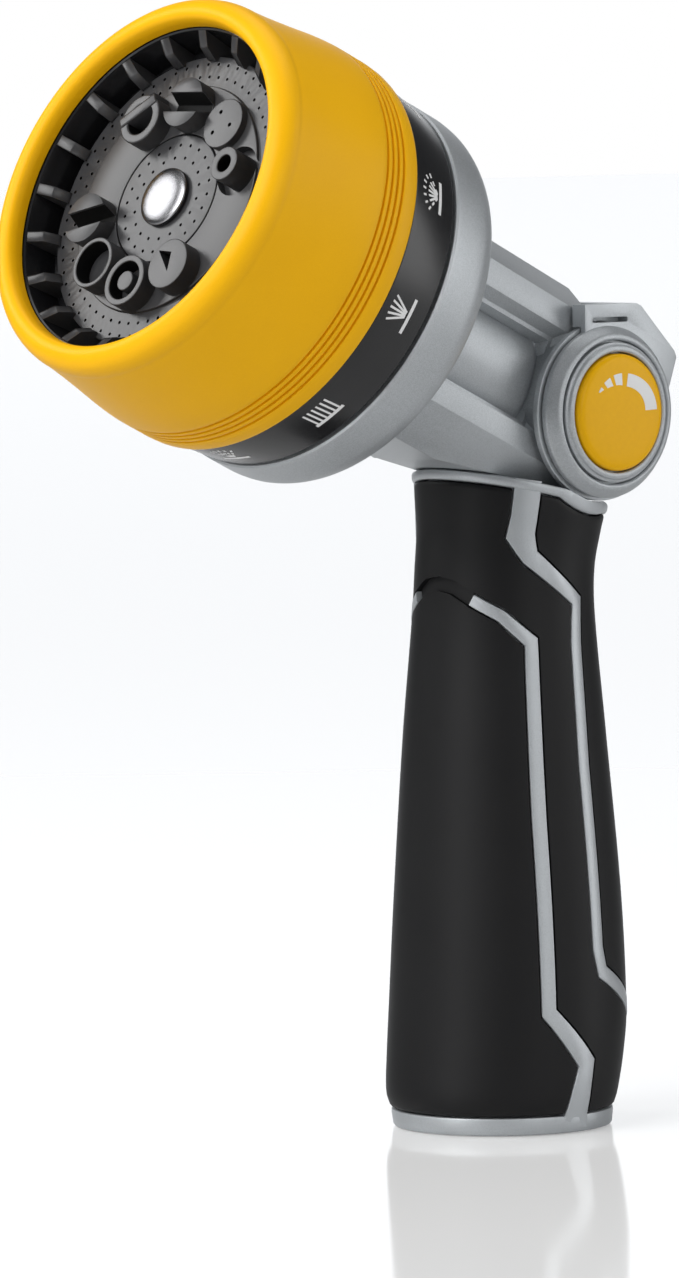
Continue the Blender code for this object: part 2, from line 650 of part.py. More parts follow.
def make_lever_trim(side, frame):
    """Stepped ring, domed cap, screw and seal on one end of the spool."""
    floor = BARREL_HALF + GAP + 1.9 * MM + GAP
    inner = CAP_RADIUS + GAP
    outer = LEVER_RECESS - GAP
    rim = CAP_FACE - 1.0 * MM
    ring = [(inner, floor), (outer, floor), (outer, rim - 0.9 * MM), (outer - 0.7 * MM, rim), (inner, rim)]
    turned(f"trim_ring_{side}", ring, frame, "silver")
    skirt = CAP_RADIUS - 1.2 * MM
    cap = [(skirt, floor), (CAP_RADIUS, floor), (CAP_RADIUS, CAP_FACE - 1.0 * MM), (CAP_RADIUS - 0.5 * MM, CAP_FACE - 0.35 * MM)]
    cap += [(CAP_RADIUS - 1.8 * MM, CAP_FACE), (0, CAP_FACE + 0.15 * MM), (0, CAP_FACE - 1.0 * MM), (skirt, CAP_FACE - 1.4 * MM)]
    turned(f"flow_cap_{side}", cap, frame, "yellow")
    head = 4.3 * MM
    screw = [(0, 10 * MM), (1.9 * MM, 10 * MM), (1.9 * MM, floor), (head, floor), (head, floor + 1.0 * MM), (0, floor + 1.2 * MM)]
    turned(f"spool_screw_{side}", screw, frame, "steel", TINY)
    torus(f"spool_o_ring_{side}", SPOOL_RADIUS - 0.55 * MM, 0.65 * MM, 13 * MM, frame, "seal")


# --- fixed front of the head --------------------------------------------------------------------
def make_front_collar():
    """Dished metal collar behind the dial."""
    outer = [(31.5, 37.2), (34.2, 39.4), (35.7, 42.0)]
    inner = [(32.9, 41.6), (30.9, 39.3)]
    profile = [(COLLAR_HOLE, 34.5 * MM)] + [(r * MM, s * MM) for r, s in outer]
    profile += [(COLLAR_RADIUS, 44 * MM), (COLLAR_RADIUS, COLLAR_FRONT - 0.5 * MM), (COLLAR_RADIUS - 0.5 * MM, COLLAR_FRONT)]
    profile += [(COLLAR_RADIUS - WALL, COLLAR_FRONT), (COLLAR_RADIUS - WALL, 43.6 * MM)]
    profile += [(r * MM, s * MM) for r, s in inner] + [(COLLAR_HOLE, 36.7 * MM)]
    return turned("front_collar", profile, HEAD_FRAME, "silver", SMOOTH)


def make_flange_gasket():
    gasket = turned("flange_gasket", ring_profile(29.5 * MM, 7 * MM, 43.5 * MM, PLATE_BACK - GAP), HEAD_FRAME, "seal")
    spots = circle_spots(SCREW_CIRCLE, 4, 45)
    cut(gasket, rods("gasket_holes", spots, 1.4 * MM + GAP, 43 * MM, 46 * MM, HEAD_FRAME, segments=TINY))
    return gasket


def make_outlet_plate():
    """Fixed plate that leads the water to the one port at the top."""
    front = SELECTOR_BACK - 0.5 * MM
    plate = turned("outlet_plate", rod_profile(30.4 * MM, PLATE_BACK, front), HEAD_FRAME, "gloss_black")
    port = (0, PATTERN_CIRCLE)
    cuts = [
        box("plate_channel", (-3 * MM, -3 * MM, PLATE_BACK - 1 * MM), (3 * MM, PATTERN_CIRCLE + 3 * MM, 48 * MM), HEAD_FRAME),
        rods("plate_port", [port], 2.4 * MM, 46 * MM, front + 1 * MM, HEAD_FRAME, segments=TINY),
        rods("plate_seal_seat", [port], 4.8 * MM, 50 * MM, front + 1 * MM, HEAD_FRAME),
        rods("plate_spindle_seat", [(0, 0)], SPINDLE_RADIUS + GAP, 50.2 * MM, front + 1 * MM, HEAD_FRAME),
        rods("plate_detent_seat", [(0, -26 * MM)], 2.3 * MM, 48 * MM, front + 1 * MM, HEAD_FRAME, segments=TINY),
    ]
    spots = circle_spots(SCREW_CIRCLE, 4, 45)
    cuts.append(rods("plate_screw_holes", spots, 1.4 * MM + GAP, 44 * MM, 58 * MM, HEAD_FRAME, segments=TINY))
    cuts.append(rods("plate_screw_heads", spots, 2.6 * MM + GAP, 53 * MM, 58 * MM, HEAD_FRAME, segments=TINY))
    cut(plate, *cuts)
    return plate


def make_flange_screws():
    for number, (x, y) in enumerate(circle_spots(SCREW_CIRCLE, 4, 45), 1):
        frame = HEAD_FRAME @ Matrix.Translation((x, y, 0))
        profile = [(0, 40.5 * MM), (1.4 * MM, 40.5 * MM), (1.4 * MM, 53.3 * MM), (2.6 * MM, 53.3 * MM)]
        profile += [(2.6 * MM, 55 * MM), (0, 55.4 * MM)]
        turned(f"flange_screw_{number}", profile, frame, "steel", TINY)


def make_outlet_seal():
    frame = HEAD_FRAME @ Matrix.Translation((0, PATTERN_CIRCLE, 0))
    low, high = 53.4 * MM, SELECTOR_BACK - GAP
    turned("outlet_seal", ring_profile(4.5 * MM, 2.6 * MM, low, high), frame, "seal", FINE)
    coil_spring("seal_spring", 3.8 * MM, 0.4 * MM, 50.3 * MM, 53.1 * MM, 3, (0, 0), frame, "steel")


def make_detent():
    """Ball and spring that click into the selector plate's dimples."""
    frame = HEAD_FRAME @ Matrix.Translation((0, -26 * MM, SELECTOR_BACK - GAP - 2 * MM))
    bm = bmesh.new()
    bmesh.ops.create_uvsphere(bm, u_segments=12, v_segments=8, radius=2 * MM)
    place("detent_ball", bm, frame, "steel")
    coil_spring("detent_spring", 1.7 * MM, 0.3 * MM, 48.3 * MM, 52.2 * MM, 4, (0, -26 * MM), HEAD_FRAME, "steel")


def make_spindle():
    """Fixed shaft that the dial turns on, with the screw and washer that keep it there."""
    spindle = turned("spindle", rod_profile(SPINDLE_RADIUS, 50.5 * MM, BLOCK_FRONT), HEAD_FRAME, "brass", FINE)
    cut(spindle, rods("spindle_thread", [(0, 0)], 2.2 * MM, 72 * MM, 84 * MM, HEAD_FRAME, segments=TINY))
    low = BLOCK_FRONT + GAP
    turned("dial_washer", ring_profile(6.5 * MM, 2.2 * MM, low, low + 0.6 * MM), HEAD_FRAME, "steel", FINE)
    seat = low + 0.6 * MM + GAP
    screw = [(0, 73 * MM), (1.9 * MM, 73 * MM), (1.9 * MM, seat), (4.2 * MM, seat), (4.2 * MM, seat + 0.9 * MM), (0, seat + 1.1 * MM)]
    turned("dial_screw", screw, HEAD_FRAME, "steel", TINY)


# --- turning dial -------------------------------------------------------------------------------
def make_bezel():
    """Soft yellow grip ring with a rolled front lip."""
    bore = CUP_RADIUS + GAP
    profile = [(bore, 62.3), (37.2, 62.3), (37.8, 63.3), (37.9, 65.4)]
    profile = [(r if r < 1 else r * MM, s * MM) for r, s in profile]
    front = [(37.6, 72), (36.4, 82), (35.8, 88), (35.4, 90.6), (34.5, 92.7), (33.2, 94.0), (32.0, 94.3)]
    front += [(31.0, 93.6), (30.6, 92.2), (30.6, 90.9)]
    profile += [(r * MM, s * MM) for r, s in front] + [(bore, CUP_FRONT + GAP)]
    return turned("dial_bezel", profile, HEAD_FRAME, "yellow", SMOOTH)


def make_icon_ring():
    inner = CUP_RADIUS + GAP
    back, front = COLLAR_RADIUS - 0.2 * MM, COLLAR_RADIUS + 0.9 * MM
    profile = [(inner, ICON_BACK), (back - 0.4 * MM, ICON_BACK), (back, ICON_BACK + 0.4 * MM), (front, ICON_FRONT), (inner, ICON_FRONT)]
    return turned("icon_ring", profile, HEAD_FRAME, "gloss_black", SMOOTH)


def make_pattern_cup():
    """Black body of the dial, open at the front with ribs round its mouth."""
    wall_back = SELECTOR_BACK + SELECTOR_THICKNESS + GAP
    wall_front = wall_back + 2.7 * MM
    skirt = CUP_RADIUS - WALL
    bore = SPINDLE_RADIUS + GAP
    mouth = CUP_RADIUS - 2.6 * MM
    profile = [(bore, wall_back), (skirt, wall_back), (skirt, ICON_BACK), (CUP_RADIUS, ICON_BACK), (CUP_RADIUS, CUP_FRONT)]
    profile += [(mouth, CUP_FRONT), (mouth - 0.2 * MM, CUP_FRONT - 0.6 * MM), (28.6 * MM, FACE_FRONT), (CAVITY_RADIUS, FACE_FRONT - 0.9 * MM)]
    profile += [(CAVITY_RADIUS, wall_front), (bore, wall_front)]
    cup = turned("pattern_cup", profile, HEAD_FRAME, "gloss_black", SMOOTH)
    bm = bmesh.new()
    for number in range(RIB_COUNT):
        turn = Matrix.Rotation(2 * pi * number / RIB_COUNT, 4, "Z")
        size = Matrix.Diagonal((4.6 * MM, 2.0 * MM, 4.4 * MM, 1))
        rib = bmesh.ops.create_cube(bm, size=1, matrix=turn @ Matrix.Translation((29.0 * MM, 0, 88.1 * MM)) @ size)
        for vert in rib["verts"]:
            if vert.co.xy.length < 29 * MM and vert.co.z > 88 * MM:
                vert.co += turn @ Vector((2.4 * MM, 0, -0.4 * MM))
    join(cup, place("cup_ribs", bm, HEAD_FRAME))
    cut(cup, rods("cup_holes", circle_spots(PATTERN_CIRCLE, PATTERN_COUNT, PATTERN_START), 2.8 * MM, 58 * MM, 64 * MM, HEAD_FRAME, segments=TINY))
    return cup


def make_selector_plate():
    """Hard disc that slides over the outlet seal; ten ports and ten click dimples."""
    front = SELECTOR_BACK + SELECTOR_THICKNESS
    radius = CUP_RADIUS - WALL - GAP
    plate = turned("selector_plate", ring_profile(radius, SPINDLE_RADIUS + GAP, SELECTOR_BACK, front), HEAD_FRAME, "acetal")
    ports = circle_spots(PATTERN_CIRCLE, PATTERN_COUNT, PATTERN_START)
    dimples = circle_spots(26 * MM, PATTERN_COUNT, 90)
    cuts = [
        rods("selector_ports", ports, 2.6 * MM, SELECTOR_BACK - 1 * MM, front + 1 * MM, HEAD_FRAME, segments=TINY),
        rods("selector_dimples", dimples, 1.5 * MM, SELECTOR_BACK - 1 * MM, SELECTOR_BACK + 0.8 * MM, HEAD_FRAME, segments=8),
        rods("selector_seal_seat", [(0, 0)], 7.4 * MM, front - 1.8 * MM, front + 1 * MM, HEAD_FRAME),
    ]
    cut(plate, *cuts)
    torus("spindle_o_ring", SPINDLE_RADIUS + 1.15 * MM, 0.7 * MM, front - 0.8 * MM, HEAD_FRAME, "seal")
    return plate


def make_channel_block():
    """Ten water channels; the last two open into the rose and the shower ring."""
    low = SELECTOR_BACK + SELECTOR_THICKNESS + GAP + 2.7 * MM + GAP
    radius = CAVITY_RADIUS - GAP
    block = turned("channel_block", ring_profile(radius, SPINDLE_RADIUS + GAP, low, BLOCK_FRONT), HEAD_FRAME, "face_grey")
    floor = BLOCK_FRONT - 3 * MM
    beyond = BLOCK_FRONT + 1 * MM
    cuts = [
        rods("block_channels", circle_spots(PATTERN_CIRCLE, PATTERN_COUNT, PATTERN_START), 3.4 * MM, low - 1 * MM, beyond, HEAD_FRAME),
        turned("block_rose_chamber", ring_profile(11.5 * MM, 7.6 * MM, floor, beyond), HEAD_FRAME),
        turned("block_shower_chamber", ring_profile(25.8 * MM, 21.8 * MM, floor, beyond), HEAD_FRAME),
    ]
    rose_turn = HEAD_FRAME @ Matrix.Rotation(radians(PATTERN_START + 4 * 36), 4, "Z")
    shower_turn = HEAD_FRAME @ Matrix.Rotation(radians(PATTERN_START + 9 * 36), 4, "Z")
    cuts.append(box("block_rose_gate", (10 * MM, -1.5 * MM, floor + 0.5 * MM), (15 * MM, 1.5 * MM, beyond), rose_turn))
    cuts.append(box("block_shower_gate", (19 * MM, -1.5 * MM, floor + 0.5 * MM), (23 * MM, 1.5 * MM, beyond), shower_turn))
    cut(block, *cuts)
    return block


def make_spray_face():
    """Grey front disc with eight different nozzles round it."""
    back = BLOCK_FRONT + GAP
    radius = CAVITY_RADIUS - GAP
    outer_front = FACE_FRONT - FACE_STEP
    step = 21.5 * MM
    ledge = FACE_FRONT - 1.5 * MM - GAP
    profile = [(ROSE_RADIUS - 1.3 * MM, back), (radius, back), (radius, outer_front - 0.4 * MM), (radius - 0.4 * MM, outer_front)]
    profile += [(step, outer_front), (step, FACE_FRONT), (ROSE_RADIUS + GAP, FACE_FRONT), (ROSE_RADIUS + GAP, ledge)]
    profile += [(ROSE_RADIUS - 1.3 * MM, ledge)]
    face = turned("spray_face", profile, HEAD_FRAME, "face_grey")
    tall = [nozzle_spot(n) for n in (2, 3, 5, 6, 7, 8)]
    join(face, rods("tall_nozzles", tall, NOZZLE_RADIUS, 84 * MM, NOZZLE_FRONT, HEAD_FRAME))
    join(face, rods("mist_nozzle", [nozzle_spot(1)], NOZZLE_RADIUS, 84 * MM, FACE_FRONT + 1.6 * MM, HEAD_FRAME))
    cut(face, rods("jet_well", [nozzle_spot(0)], NOZZLE_RADIUS, FACE_FRONT - 1.6 * MM, FACE_FRONT + 1 * MM, HEAD_FRAME))
    join(face, rods("jet_nozzle", [nozzle_spot(0)], 3.1 * MM, 84 * MM, NOZZLE_FRONT, HEAD_FRAME))
    cut(face, *nozzle_mouths())
    return face


def nozzle_mouths():
    """What is cut from the nozzles' fronts, one cutter for each kind of mouth."""
    through = 80 * MM
    front = NOZZLE_FRONT + 1 * MM

    def slot(name, number, width, turn, depth):
        x, y = nozzle_spot(number)
        frame = HEAD_FRAME @ Matrix.Translation((x, y, 0)) @ Matrix.Rotation(radians(turn), 4, "Z")
        return box(name, (-8 * MM, -width / 2, NOZZLE_FRONT - depth), (8 * MM, width / 2, front), frame)

    annulus = HEAD_FRAME @ Matrix.Translation((*nozzle_spot(7), 0))
    triangle = HEAD_FRAME @ Matrix.Translation((*nozzle_spot(8), 0))
    mist = [(nozzle_spot(1)[0] + x, nozzle_spot(1)[1] + y) for x, y in circle_spots(1.9 * MM, 3, 10)]
    return [
        rods("jet_bore", [nozzle_spot(0)], 1.6 * MM, through, front, HEAD_FRAME, segments=TINY),
        rods("mist_bores", mist, 0.45 * MM, through, front, HEAD_FRAME, segments=6),
        slot("fan_slot", 2, 3.7 * MM, 0, 2.6 * MM),
        rods("fan_bore", [nozzle_spot(2)], 1.3 * MM, through, front, HEAD_FRAME, segments=TINY),
        rods("angle_bore", [nozzle_spot(3)], 2.9 * MM, through, front, HEAD_FRAME),
        slot("flat_slot", 5, 3.4 * MM, 14, 2.6 * MM),
        rods("flat_bore", [nozzle_spot(5)], 1.3 * MM, through, front, HEAD_FRAME, segments=TINY),
        rods("soaker_bore", [nozzle_spot(6)], NOZZLE_RADIUS - 0.8 * MM, through, front, HEAD_FRAME),
        turned("cone_annulus", ring_profile(3.6 * MM, 1.8 * MM, 84.6 * MM, front), annulus, segments=FINE),
        rods("triangle_bore", [(0, 0)], 2.3 * MM, through, front, triangle, segments=3),
    ]


def make_rose_disc():
    """Inner disc with pinholes round the centre cap."""
    low = FACE_FRONT - 1.5 * MM
    disc = turned("rose_disc", ring_profile(ROSE_RADIUS, 3.2 * MM, low, FACE_FRONT), HEAD_FRAME, "face_grey")
    spots = circle_spots(8.6 * MM, 18)
    cut(disc, rods("rose_pinholes", spots, 0.35 * MM, low - 1 * MM, FACE_FRONT + 1 * MM, HEAD_FRAME, segments=4))
    return disc


def make_centre_cap():
    low = FACE_FRONT + GAP
    profile = [(0, FACE_FRONT - 1.2 * MM), (2.9 * MM, FACE_FRONT - 1.2 * MM), (2.9 * MM, low), (DOME_RADIUS, low)]
    profile += [(DOME_RADIUS, low + 0.4 * MM), (DOME_RADIUS - 0.6 * MM, low + 0.8 * MM), (2.5 * MM, low + 1.2 * MM), (0, low + 1.3 * MM)]
    return turned("centre_cap", profile, HEAD_FRAME, "chrome", MEDIUM)


def main():
    make_handle_core()
    make_grip("grip_front", rear=False)
    make_grip("grip_rear", rear=True)
    make_retaining_pin()
    make_inlet_socket()
    make_hose_washer()
    make_filter_screen()
    make_water_tube()
    make_tube_o_rings()
    make_neck_casting()
    make_valve_spool()
    make_thumb_lever()
    for side, frame in HUB_SIDES.items():
        make_lever_trim(side, frame)
    make_front_collar()
    make_flange_gasket()
    make_outlet_plate()
    make_flange_screws()
    make_outlet_seal()
    make_detent()
    make_spindle()
    make_bezel()
    make_icon_ring()
    make_pattern_cup()
    make_selector_plate()
    make_channel_block()
    make_spray_face()
    make_rose_disc()
    make_centre_cap()


clear_scene()
PARTS = make_collection("hose_spray_nozzle")
CUTTERS = make_collection("cutters")
main()
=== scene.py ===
"""Looks of a garden hose spray nozzle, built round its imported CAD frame.

The frame's axes are in metres: +Z up the handle, the spray goes towards -Y and upwards, and
X = 0 is the plane of symmetry. Shapes are worked out in millimetres and placed in metres.
"""

import json
import logging
from collections.abc import Sequence
from dataclasses import dataclass, field
from enum import Enum
from math import asin, copysign, cos, pi, radians, sin, sqrt, tan

import bmesh
import bpy
from mathutils import Matrix, Vector


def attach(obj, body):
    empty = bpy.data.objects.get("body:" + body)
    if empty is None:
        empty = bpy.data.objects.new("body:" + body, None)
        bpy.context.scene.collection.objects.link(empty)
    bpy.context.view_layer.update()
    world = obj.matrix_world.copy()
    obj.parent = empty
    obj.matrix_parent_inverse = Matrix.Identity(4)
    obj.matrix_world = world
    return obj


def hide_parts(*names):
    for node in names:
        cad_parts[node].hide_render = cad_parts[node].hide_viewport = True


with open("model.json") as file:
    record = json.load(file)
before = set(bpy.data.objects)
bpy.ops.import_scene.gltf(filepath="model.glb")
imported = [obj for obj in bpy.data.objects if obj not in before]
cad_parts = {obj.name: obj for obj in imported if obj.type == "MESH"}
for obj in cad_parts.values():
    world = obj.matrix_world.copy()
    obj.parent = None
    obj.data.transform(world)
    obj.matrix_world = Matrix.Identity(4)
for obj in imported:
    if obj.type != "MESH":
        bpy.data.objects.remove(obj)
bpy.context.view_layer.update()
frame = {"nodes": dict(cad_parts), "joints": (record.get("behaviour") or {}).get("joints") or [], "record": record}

MM = 0.001
SEGMENTS = 168  # sides of a large turned shape
SMALL = 48  # sides of a small one
GAP = 0.3  # clearance between neighbouring pieces, in millimetres
FINE_SHARE = 0.6  # how much of a finish's variation is its fine texture
COAT_ROUGHNESS = 0.06
BUMP_STRENGTH = 0.6
MIDDLE_TONES = (0.25, 0.75)  # the part of a noise's range that its values really use
EDGE_POINTINESS = (0.51, 0.56)  # from a flat surface to a sharp edge, which a painted highlight makes lighter
PORTS = 10  # places round the dial, one for each spray pattern
FIRST_PORT = 18.0  # where the first one lies, in degrees from local +X

Point = tuple[float, float]
Corner = tuple[float, float, float]
Colour = tuple[float, float, float]
Shape = bmesh.types.BMesh
Piece = bpy.types.Object
Tree = bpy.types.NodeTree
Node = bpy.types.Node
Socket = bpy.types.NodeSocket

log = logging.getLogger("spray_nozzle")


# --- finishes -----------------------------------------------------------------------------------
class Texture(Enum):
    """How a finish is broken up close to."""

    FLAKES = "metal flakes under lacquer"
    GRAIN = "fine matt grain"
    MOULDED = "smooth moulded skin"
    TURNED = "fine rings left by a lathe"


@dataclass(frozen=True)
class Finish:
    """A surface finish: two tones, how rough it is and what its fine texture looks like."""

    name: str
    light: Colour
    dark: Colour
    roughness: Point
    texture: Texture
    grain: float  # size of the fine texture, in millimetres
    relief: float  # height of the fine texture, in millimetres
    metallic: float = 0.0
    specular: float = 0.5
    coat: float = 0.0
    patch: float = 14.0  # size of the broad variation, in millimetres
    edge_highlight: float = 0.0  # painted highlight: how much lighter its outer edges are made
    brushed: float = 0.0  # how strongly rings round local Z stretch its highlights

    def material(self) -> bpy.types.Material:
        """Make this finish's material, or find the one made before.

        Returns:
            The material.
        """
        name = f"{self.name}_finish"
        found = bpy.data.materials.get(name)
        if found:
            return found
        material = bpy.data.materials.new(name)
        material.use_nodes = True
        tree = material.node_tree
        shader = tree.nodes["Principled BSDF"]
        shader.inputs["Metallic"].default_value = self.metallic
        shader.inputs["Specular IOR Level"].default_value = self.specular
        shader.inputs["Coat Weight"].default_value = self.coat
        shader.inputs["Coat Roughness"].default_value = COAT_ROUGHNESS
        if self.brushed:
            shader.inputs["Anisotropic"].default_value = self.brushed
            around = tree.nodes.new("ShaderNodeTangent")
            around.direction_type = "RADIAL"
            around.axis = "Z"
            tree.links.new(around.outputs["Tangent"], shader.inputs["Tangent"])
        where = tree.nodes.new("ShaderNodeTexCoord").outputs["Object"]
        fine = self._fine(tree, where)
        broad = self._noise(tree, where, self.patch, 3.0)
        both = self._math(tree, "MULTIPLY_ADD", fine, FINE_SHARE)
        tree.links.new(self._math(tree, "MULTIPLY", broad, 1 - FINE_SHARE), both.node.inputs[2])
        tone = both
        # Painted highlight: the outer edges are made lighter by their pointiness
        if self.edge_highlight:
            edges = tree.nodes.new("ShaderNodeNewGeometry").outputs["Pointiness"]
            lift = self._range(tree, edges, EDGE_POINTINESS, (0.0, self.edge_highlight))
            tone = self._math(tree, "ADD", both, 0.0)
            tree.links.new(lift, tone.node.inputs[1])
        self._mix_tones(tree, shader, tone)
        rough = self._range(tree, both, MIDDLE_TONES, self.roughness)
        tree.links.new(rough, shader.inputs["Roughness"])
        self._bump(tree, shader, fine)
        return material

    def _mix_tones(self, tree: Tree, shader: Node, tone: Socket) -> None:
        """Link the two tones to the shader's colour.

        Args:
            tree: the material's nodes.
            shader: the surface shader.
            tone: from 0, the dark tone, to 1, the light one.
        """
        ramp = tree.nodes.new("ShaderNodeValToRGB")
        for stop, place, colour in zip(ramp.color_ramp.elements, MIDDLE_TONES, (self.dark, self.light)):
            stop.position = place
            stop.color = (*colour, 1)
        tree.links.new(tone, ramp.inputs["Fac"])
        tree.links.new(ramp.outputs["Color"], shader.inputs["Base Color"])

    def _bump(self, tree: Tree, shader: Node, height: Socket) -> None:
        """Raise the surface by the fine texture.

        Args:
            tree: the material's nodes.
            shader: the surface shader.
            height: the fine texture, from 0 to 1.
        """
        bump = tree.nodes.new("ShaderNodeBump")
        bump.inputs["Strength"].default_value = BUMP_STRENGTH
        bump.inputs["Distance"].default_value = self.relief * MM
        tree.links.new(height, bump.inputs["Height"])
        tree.links.new(bump.outputs["Normal"], shader.inputs["Normal"])

    def _fine(self, tree: Tree, where: Socket) -> Socket:
        """Make the fine texture.

        Args:
            tree: the material's nodes.
            where: the place on the piece.

        Returns:
            The texture, from 0 to 1.
        """
        if self.texture is Texture.FLAKES:
            cells = tree.nodes.new("ShaderNodeTexVoronoi")
            cells.inputs["Scale"].default_value = 1 / (self.grain * MM)
            tree.links.new(where, cells.inputs["Vector"])
            parts = tree.nodes.new("ShaderNodeSeparateColor")
            tree.links.new(cells.outputs["Color"], parts.inputs["Color"])
            return parts.outputs["Red"]
        if self.texture is Texture.TURNED:
            rings = tree.nodes.new("ShaderNodeTexWave")
            rings.wave_type = "RINGS"
            rings.rings_direction = "Z"
            rings.inputs["Scale"].default_value = pi / (10 * self.grain * MM)
            rings.inputs["Distortion"].default_value = 1.5
            tree.links.new(where, rings.inputs["Vector"])
            return rings.outputs["Fac"]
        return self._noise(tree, where, self.grain, 2.0 if self.texture is Texture.MOULDED else 5.0)

    @staticmethod
    def _noise(tree: Tree, where: Socket, size: float, detail: float) -> Socket:
        """Make a noise texture.

        Args:
            tree: the material's nodes.
            where: the place on the piece.
            size: the size of its patches, in millimetres.
            detail: how many finer layers it has.

        Returns:
            The noise, from 0 to 1.
        """
        noise = tree.nodes.new("ShaderNodeTexNoise")
        noise.inputs["Scale"].default_value = 1 / (size * MM)
        noise.inputs["Detail"].default_value = detail
        tree.links.new(where, noise.inputs["Vector"])
        return noise.outputs["Fac"]

    @staticmethod
    def _math(tree: Tree, kind: str, value: Socket, other: float) -> Socket:
        """Work out one step on a varying value.

        Args:
            tree: the material's nodes.
            kind: the operation.
            value: the varying value.
            other: the second value.

        Returns:
            The result.
        """
        step = tree.nodes.new("ShaderNodeMath")
        step.operation = kind
        step.inputs[1].default_value = other
        tree.links.new(value, step.inputs[0])
        return step.outputs[0]

    @staticmethod
    def _range(tree: Tree, value: Socket, source: Point, target: Point) -> Socket:
        """Stretch a varying value from one range to another.

        Args:
            tree: the material's nodes.
            value: the varying value.
            source: the range it comes in.
            target: the range it goes out in.

        Returns:
            The result.
        """
        node = tree.nodes.new("ShaderNodeMapRange")
        node.inputs["From Min"].default_value, node.inputs["From Max"].default_value = source
        node.inputs["To Min"].default_value, node.inputs["To Max"].default_value = target
        tree.links.new(value, node.inputs["Value"])
        return node.outputs["Result"]


# Silver paint, whose outer edges are painted lighter as a highlight
SILVER_PAINT = Finish(
    "silver_paint", (0.50, 0.525, 0.545), (0.37, 0.39, 0.405), (0.40, 0.50),
    Texture.FLAKES, 0.11, 0.005, 0.6, edge_highlight=0.5,
)
BLACK_RUBBER = Finish(
    "soft_black_rubber", (0.0065, 0.0065, 0.0072), (0.0042, 0.0042, 0.0048), (0.46, 0.56),
    Texture.GRAIN, 0.16, 0.012, specular=0.26,
)
YELLOW_RUBBER = Finish(
    "yellow_rubber", (0.90, 0.475, 0.002), (0.83, 0.42, 0.0015), (0.38, 0.48),
    Texture.GRAIN, 0.2, 0.008, specular=0.16,
)
YELLOW_PLASTIC = Finish(
    "yellow_plastic", (0.90, 0.48, 0.002), (0.85, 0.44, 0.0015), (0.26, 0.34),
    Texture.MOULDED, 0.8, 0.002, specular=0.14,
)
GLOSS_BLACK = Finish(
    "gloss_black", (0.009, 0.009, 0.010), (0.006, 0.006, 0.007), (0.20, 0.28),
    Texture.MOULDED, 0.6, 0.002,
)
# Painted shade: the black put on faces deep in bores, slots and pinholes, where there is only shade
SHADE_BLACK = Finish(
    "painted_shade_black", (0.003, 0.003, 0.003), (0.0015, 0.0015, 0.0015), (0.55, 0.7),
    Texture.MOULDED, 0.6, 0.002, specular=0.15,
)
FACE_GREY = Finish(
    "face_grey", (0.044, 0.044, 0.046), (0.032, 0.032, 0.034), (0.26, 0.36),
    Texture.GRAIN, 0.14, 0.006,
)
DOME_CHROME = Finish(
    "spun_chrome", (0.36, 0.36, 0.37), (0.20, 0.20, 0.21), (0.20, 0.28),
    Texture.TURNED, 0.14, 0.004, 1.0, brushed=0.7,
)
BRASS = Finish(
    "brass", (0.78, 0.54, 0.24), (0.60, 0.40, 0.16), (0.20, 0.32),
    Texture.TURNED, 0.16, 0.004, 1.0,
)
STEEL = Finish(
    "steel", (0.66, 0.66, 0.67), (0.48, 0.48, 0.49), (0.22, 0.34),
    Texture.MOULDED, 0.3, 0.003, 1.0,
)
ACETAL = Finish(
    "pale_acetal", (0.74, 0.73, 0.69), (0.64, 0.63, 0.59), (0.32, 0.42),
    Texture.MOULDED, 0.5, 0.003,
)
SEAL_RUBBER = Finish(
    "seal_rubber", (0.026, 0.026, 0.027), (0.014, 0.014, 0.015), (0.50, 0.62),
    Texture.GRAIN, 0.2, 0.01,
)
WHITE_INK = Finish(
    "white_ink", (0.86, 0.86, 0.86), (0.76, 0.76, 0.76), (0.40, 0.50),
    Texture.GRAIN, 0.1, 0.003,
)


# --- shapes, in millimetres ---------------------------------------------------------------------
def circle(radius: float, count: int, start: float = 0.0) -> list[Point]:
    """Points evenly round a circle.

    Args:
        radius: the circle's radius.
        count: how many points.
        start: where the first one lies, in degrees from +X.

    Returns:
        The points in order.
    """
    turns = [radians(start) + 2 * pi * i / count for i in range(count)]
    return [(radius * cos(turn), radius * sin(turn)) for turn in turns]


def eased(corners: Sequence[Corner], steps: int = 4) -> list[Point]:
    """Round the corners of a closed outline.

    Args:
        corners: each corner's place, and how far from it the rounding starts.
        steps: how many pieces each rounding has.

    Returns:
        The outline's points.
    """
    outline = []
    for index, (x, y, ease) in enumerate(corners):
        corner = Vector((x, y))
        if not ease:
            outline.append((x, y))
            continue
        before = (Vector(corners[index - 1][:2]) - corner).normalized() * ease
        after = (Vector(corners[(index + 1) % len(corners)][:2]) - corner).normalized() * ease
        for step in range(steps + 1):
            share = step / steps
            spot = corner + before * (1 - share) ** 2 + after * share**2
            outline.append((spot.x, spot.y))
    return outline


def flowing(points: Sequence[Point], steps: int = 5) -> list[Point]:
    """Run a smooth curve through the points.

    Args:
        points: what the curve passes through.
        steps: how many pieces it has between two of them.

    Returns:
        The curve's points.
    """
    spots = [Vector(point) for point in points]
    curve = []
    for index in range(len(spots) - 1):
        a, b = spots[index], spots[index + 1]
        before = spots[max(index - 1, 0)]
        after = spots[min(index + 2, len(spots) - 1)]
        for step in range(steps):
            t = step / steps
            spot = a * (2 * t**3 - 3 * t**2 + 1) + b * (3 * t**2 - 2 * t**3)
            spot += (b - before) / 2 * (t**3 - 2 * t**2 + t) + (after - a) / 2 * (t**3 - t**2)
            curve.append((spot.x, spot.y))
    return curve + [tuple(points[-1])]


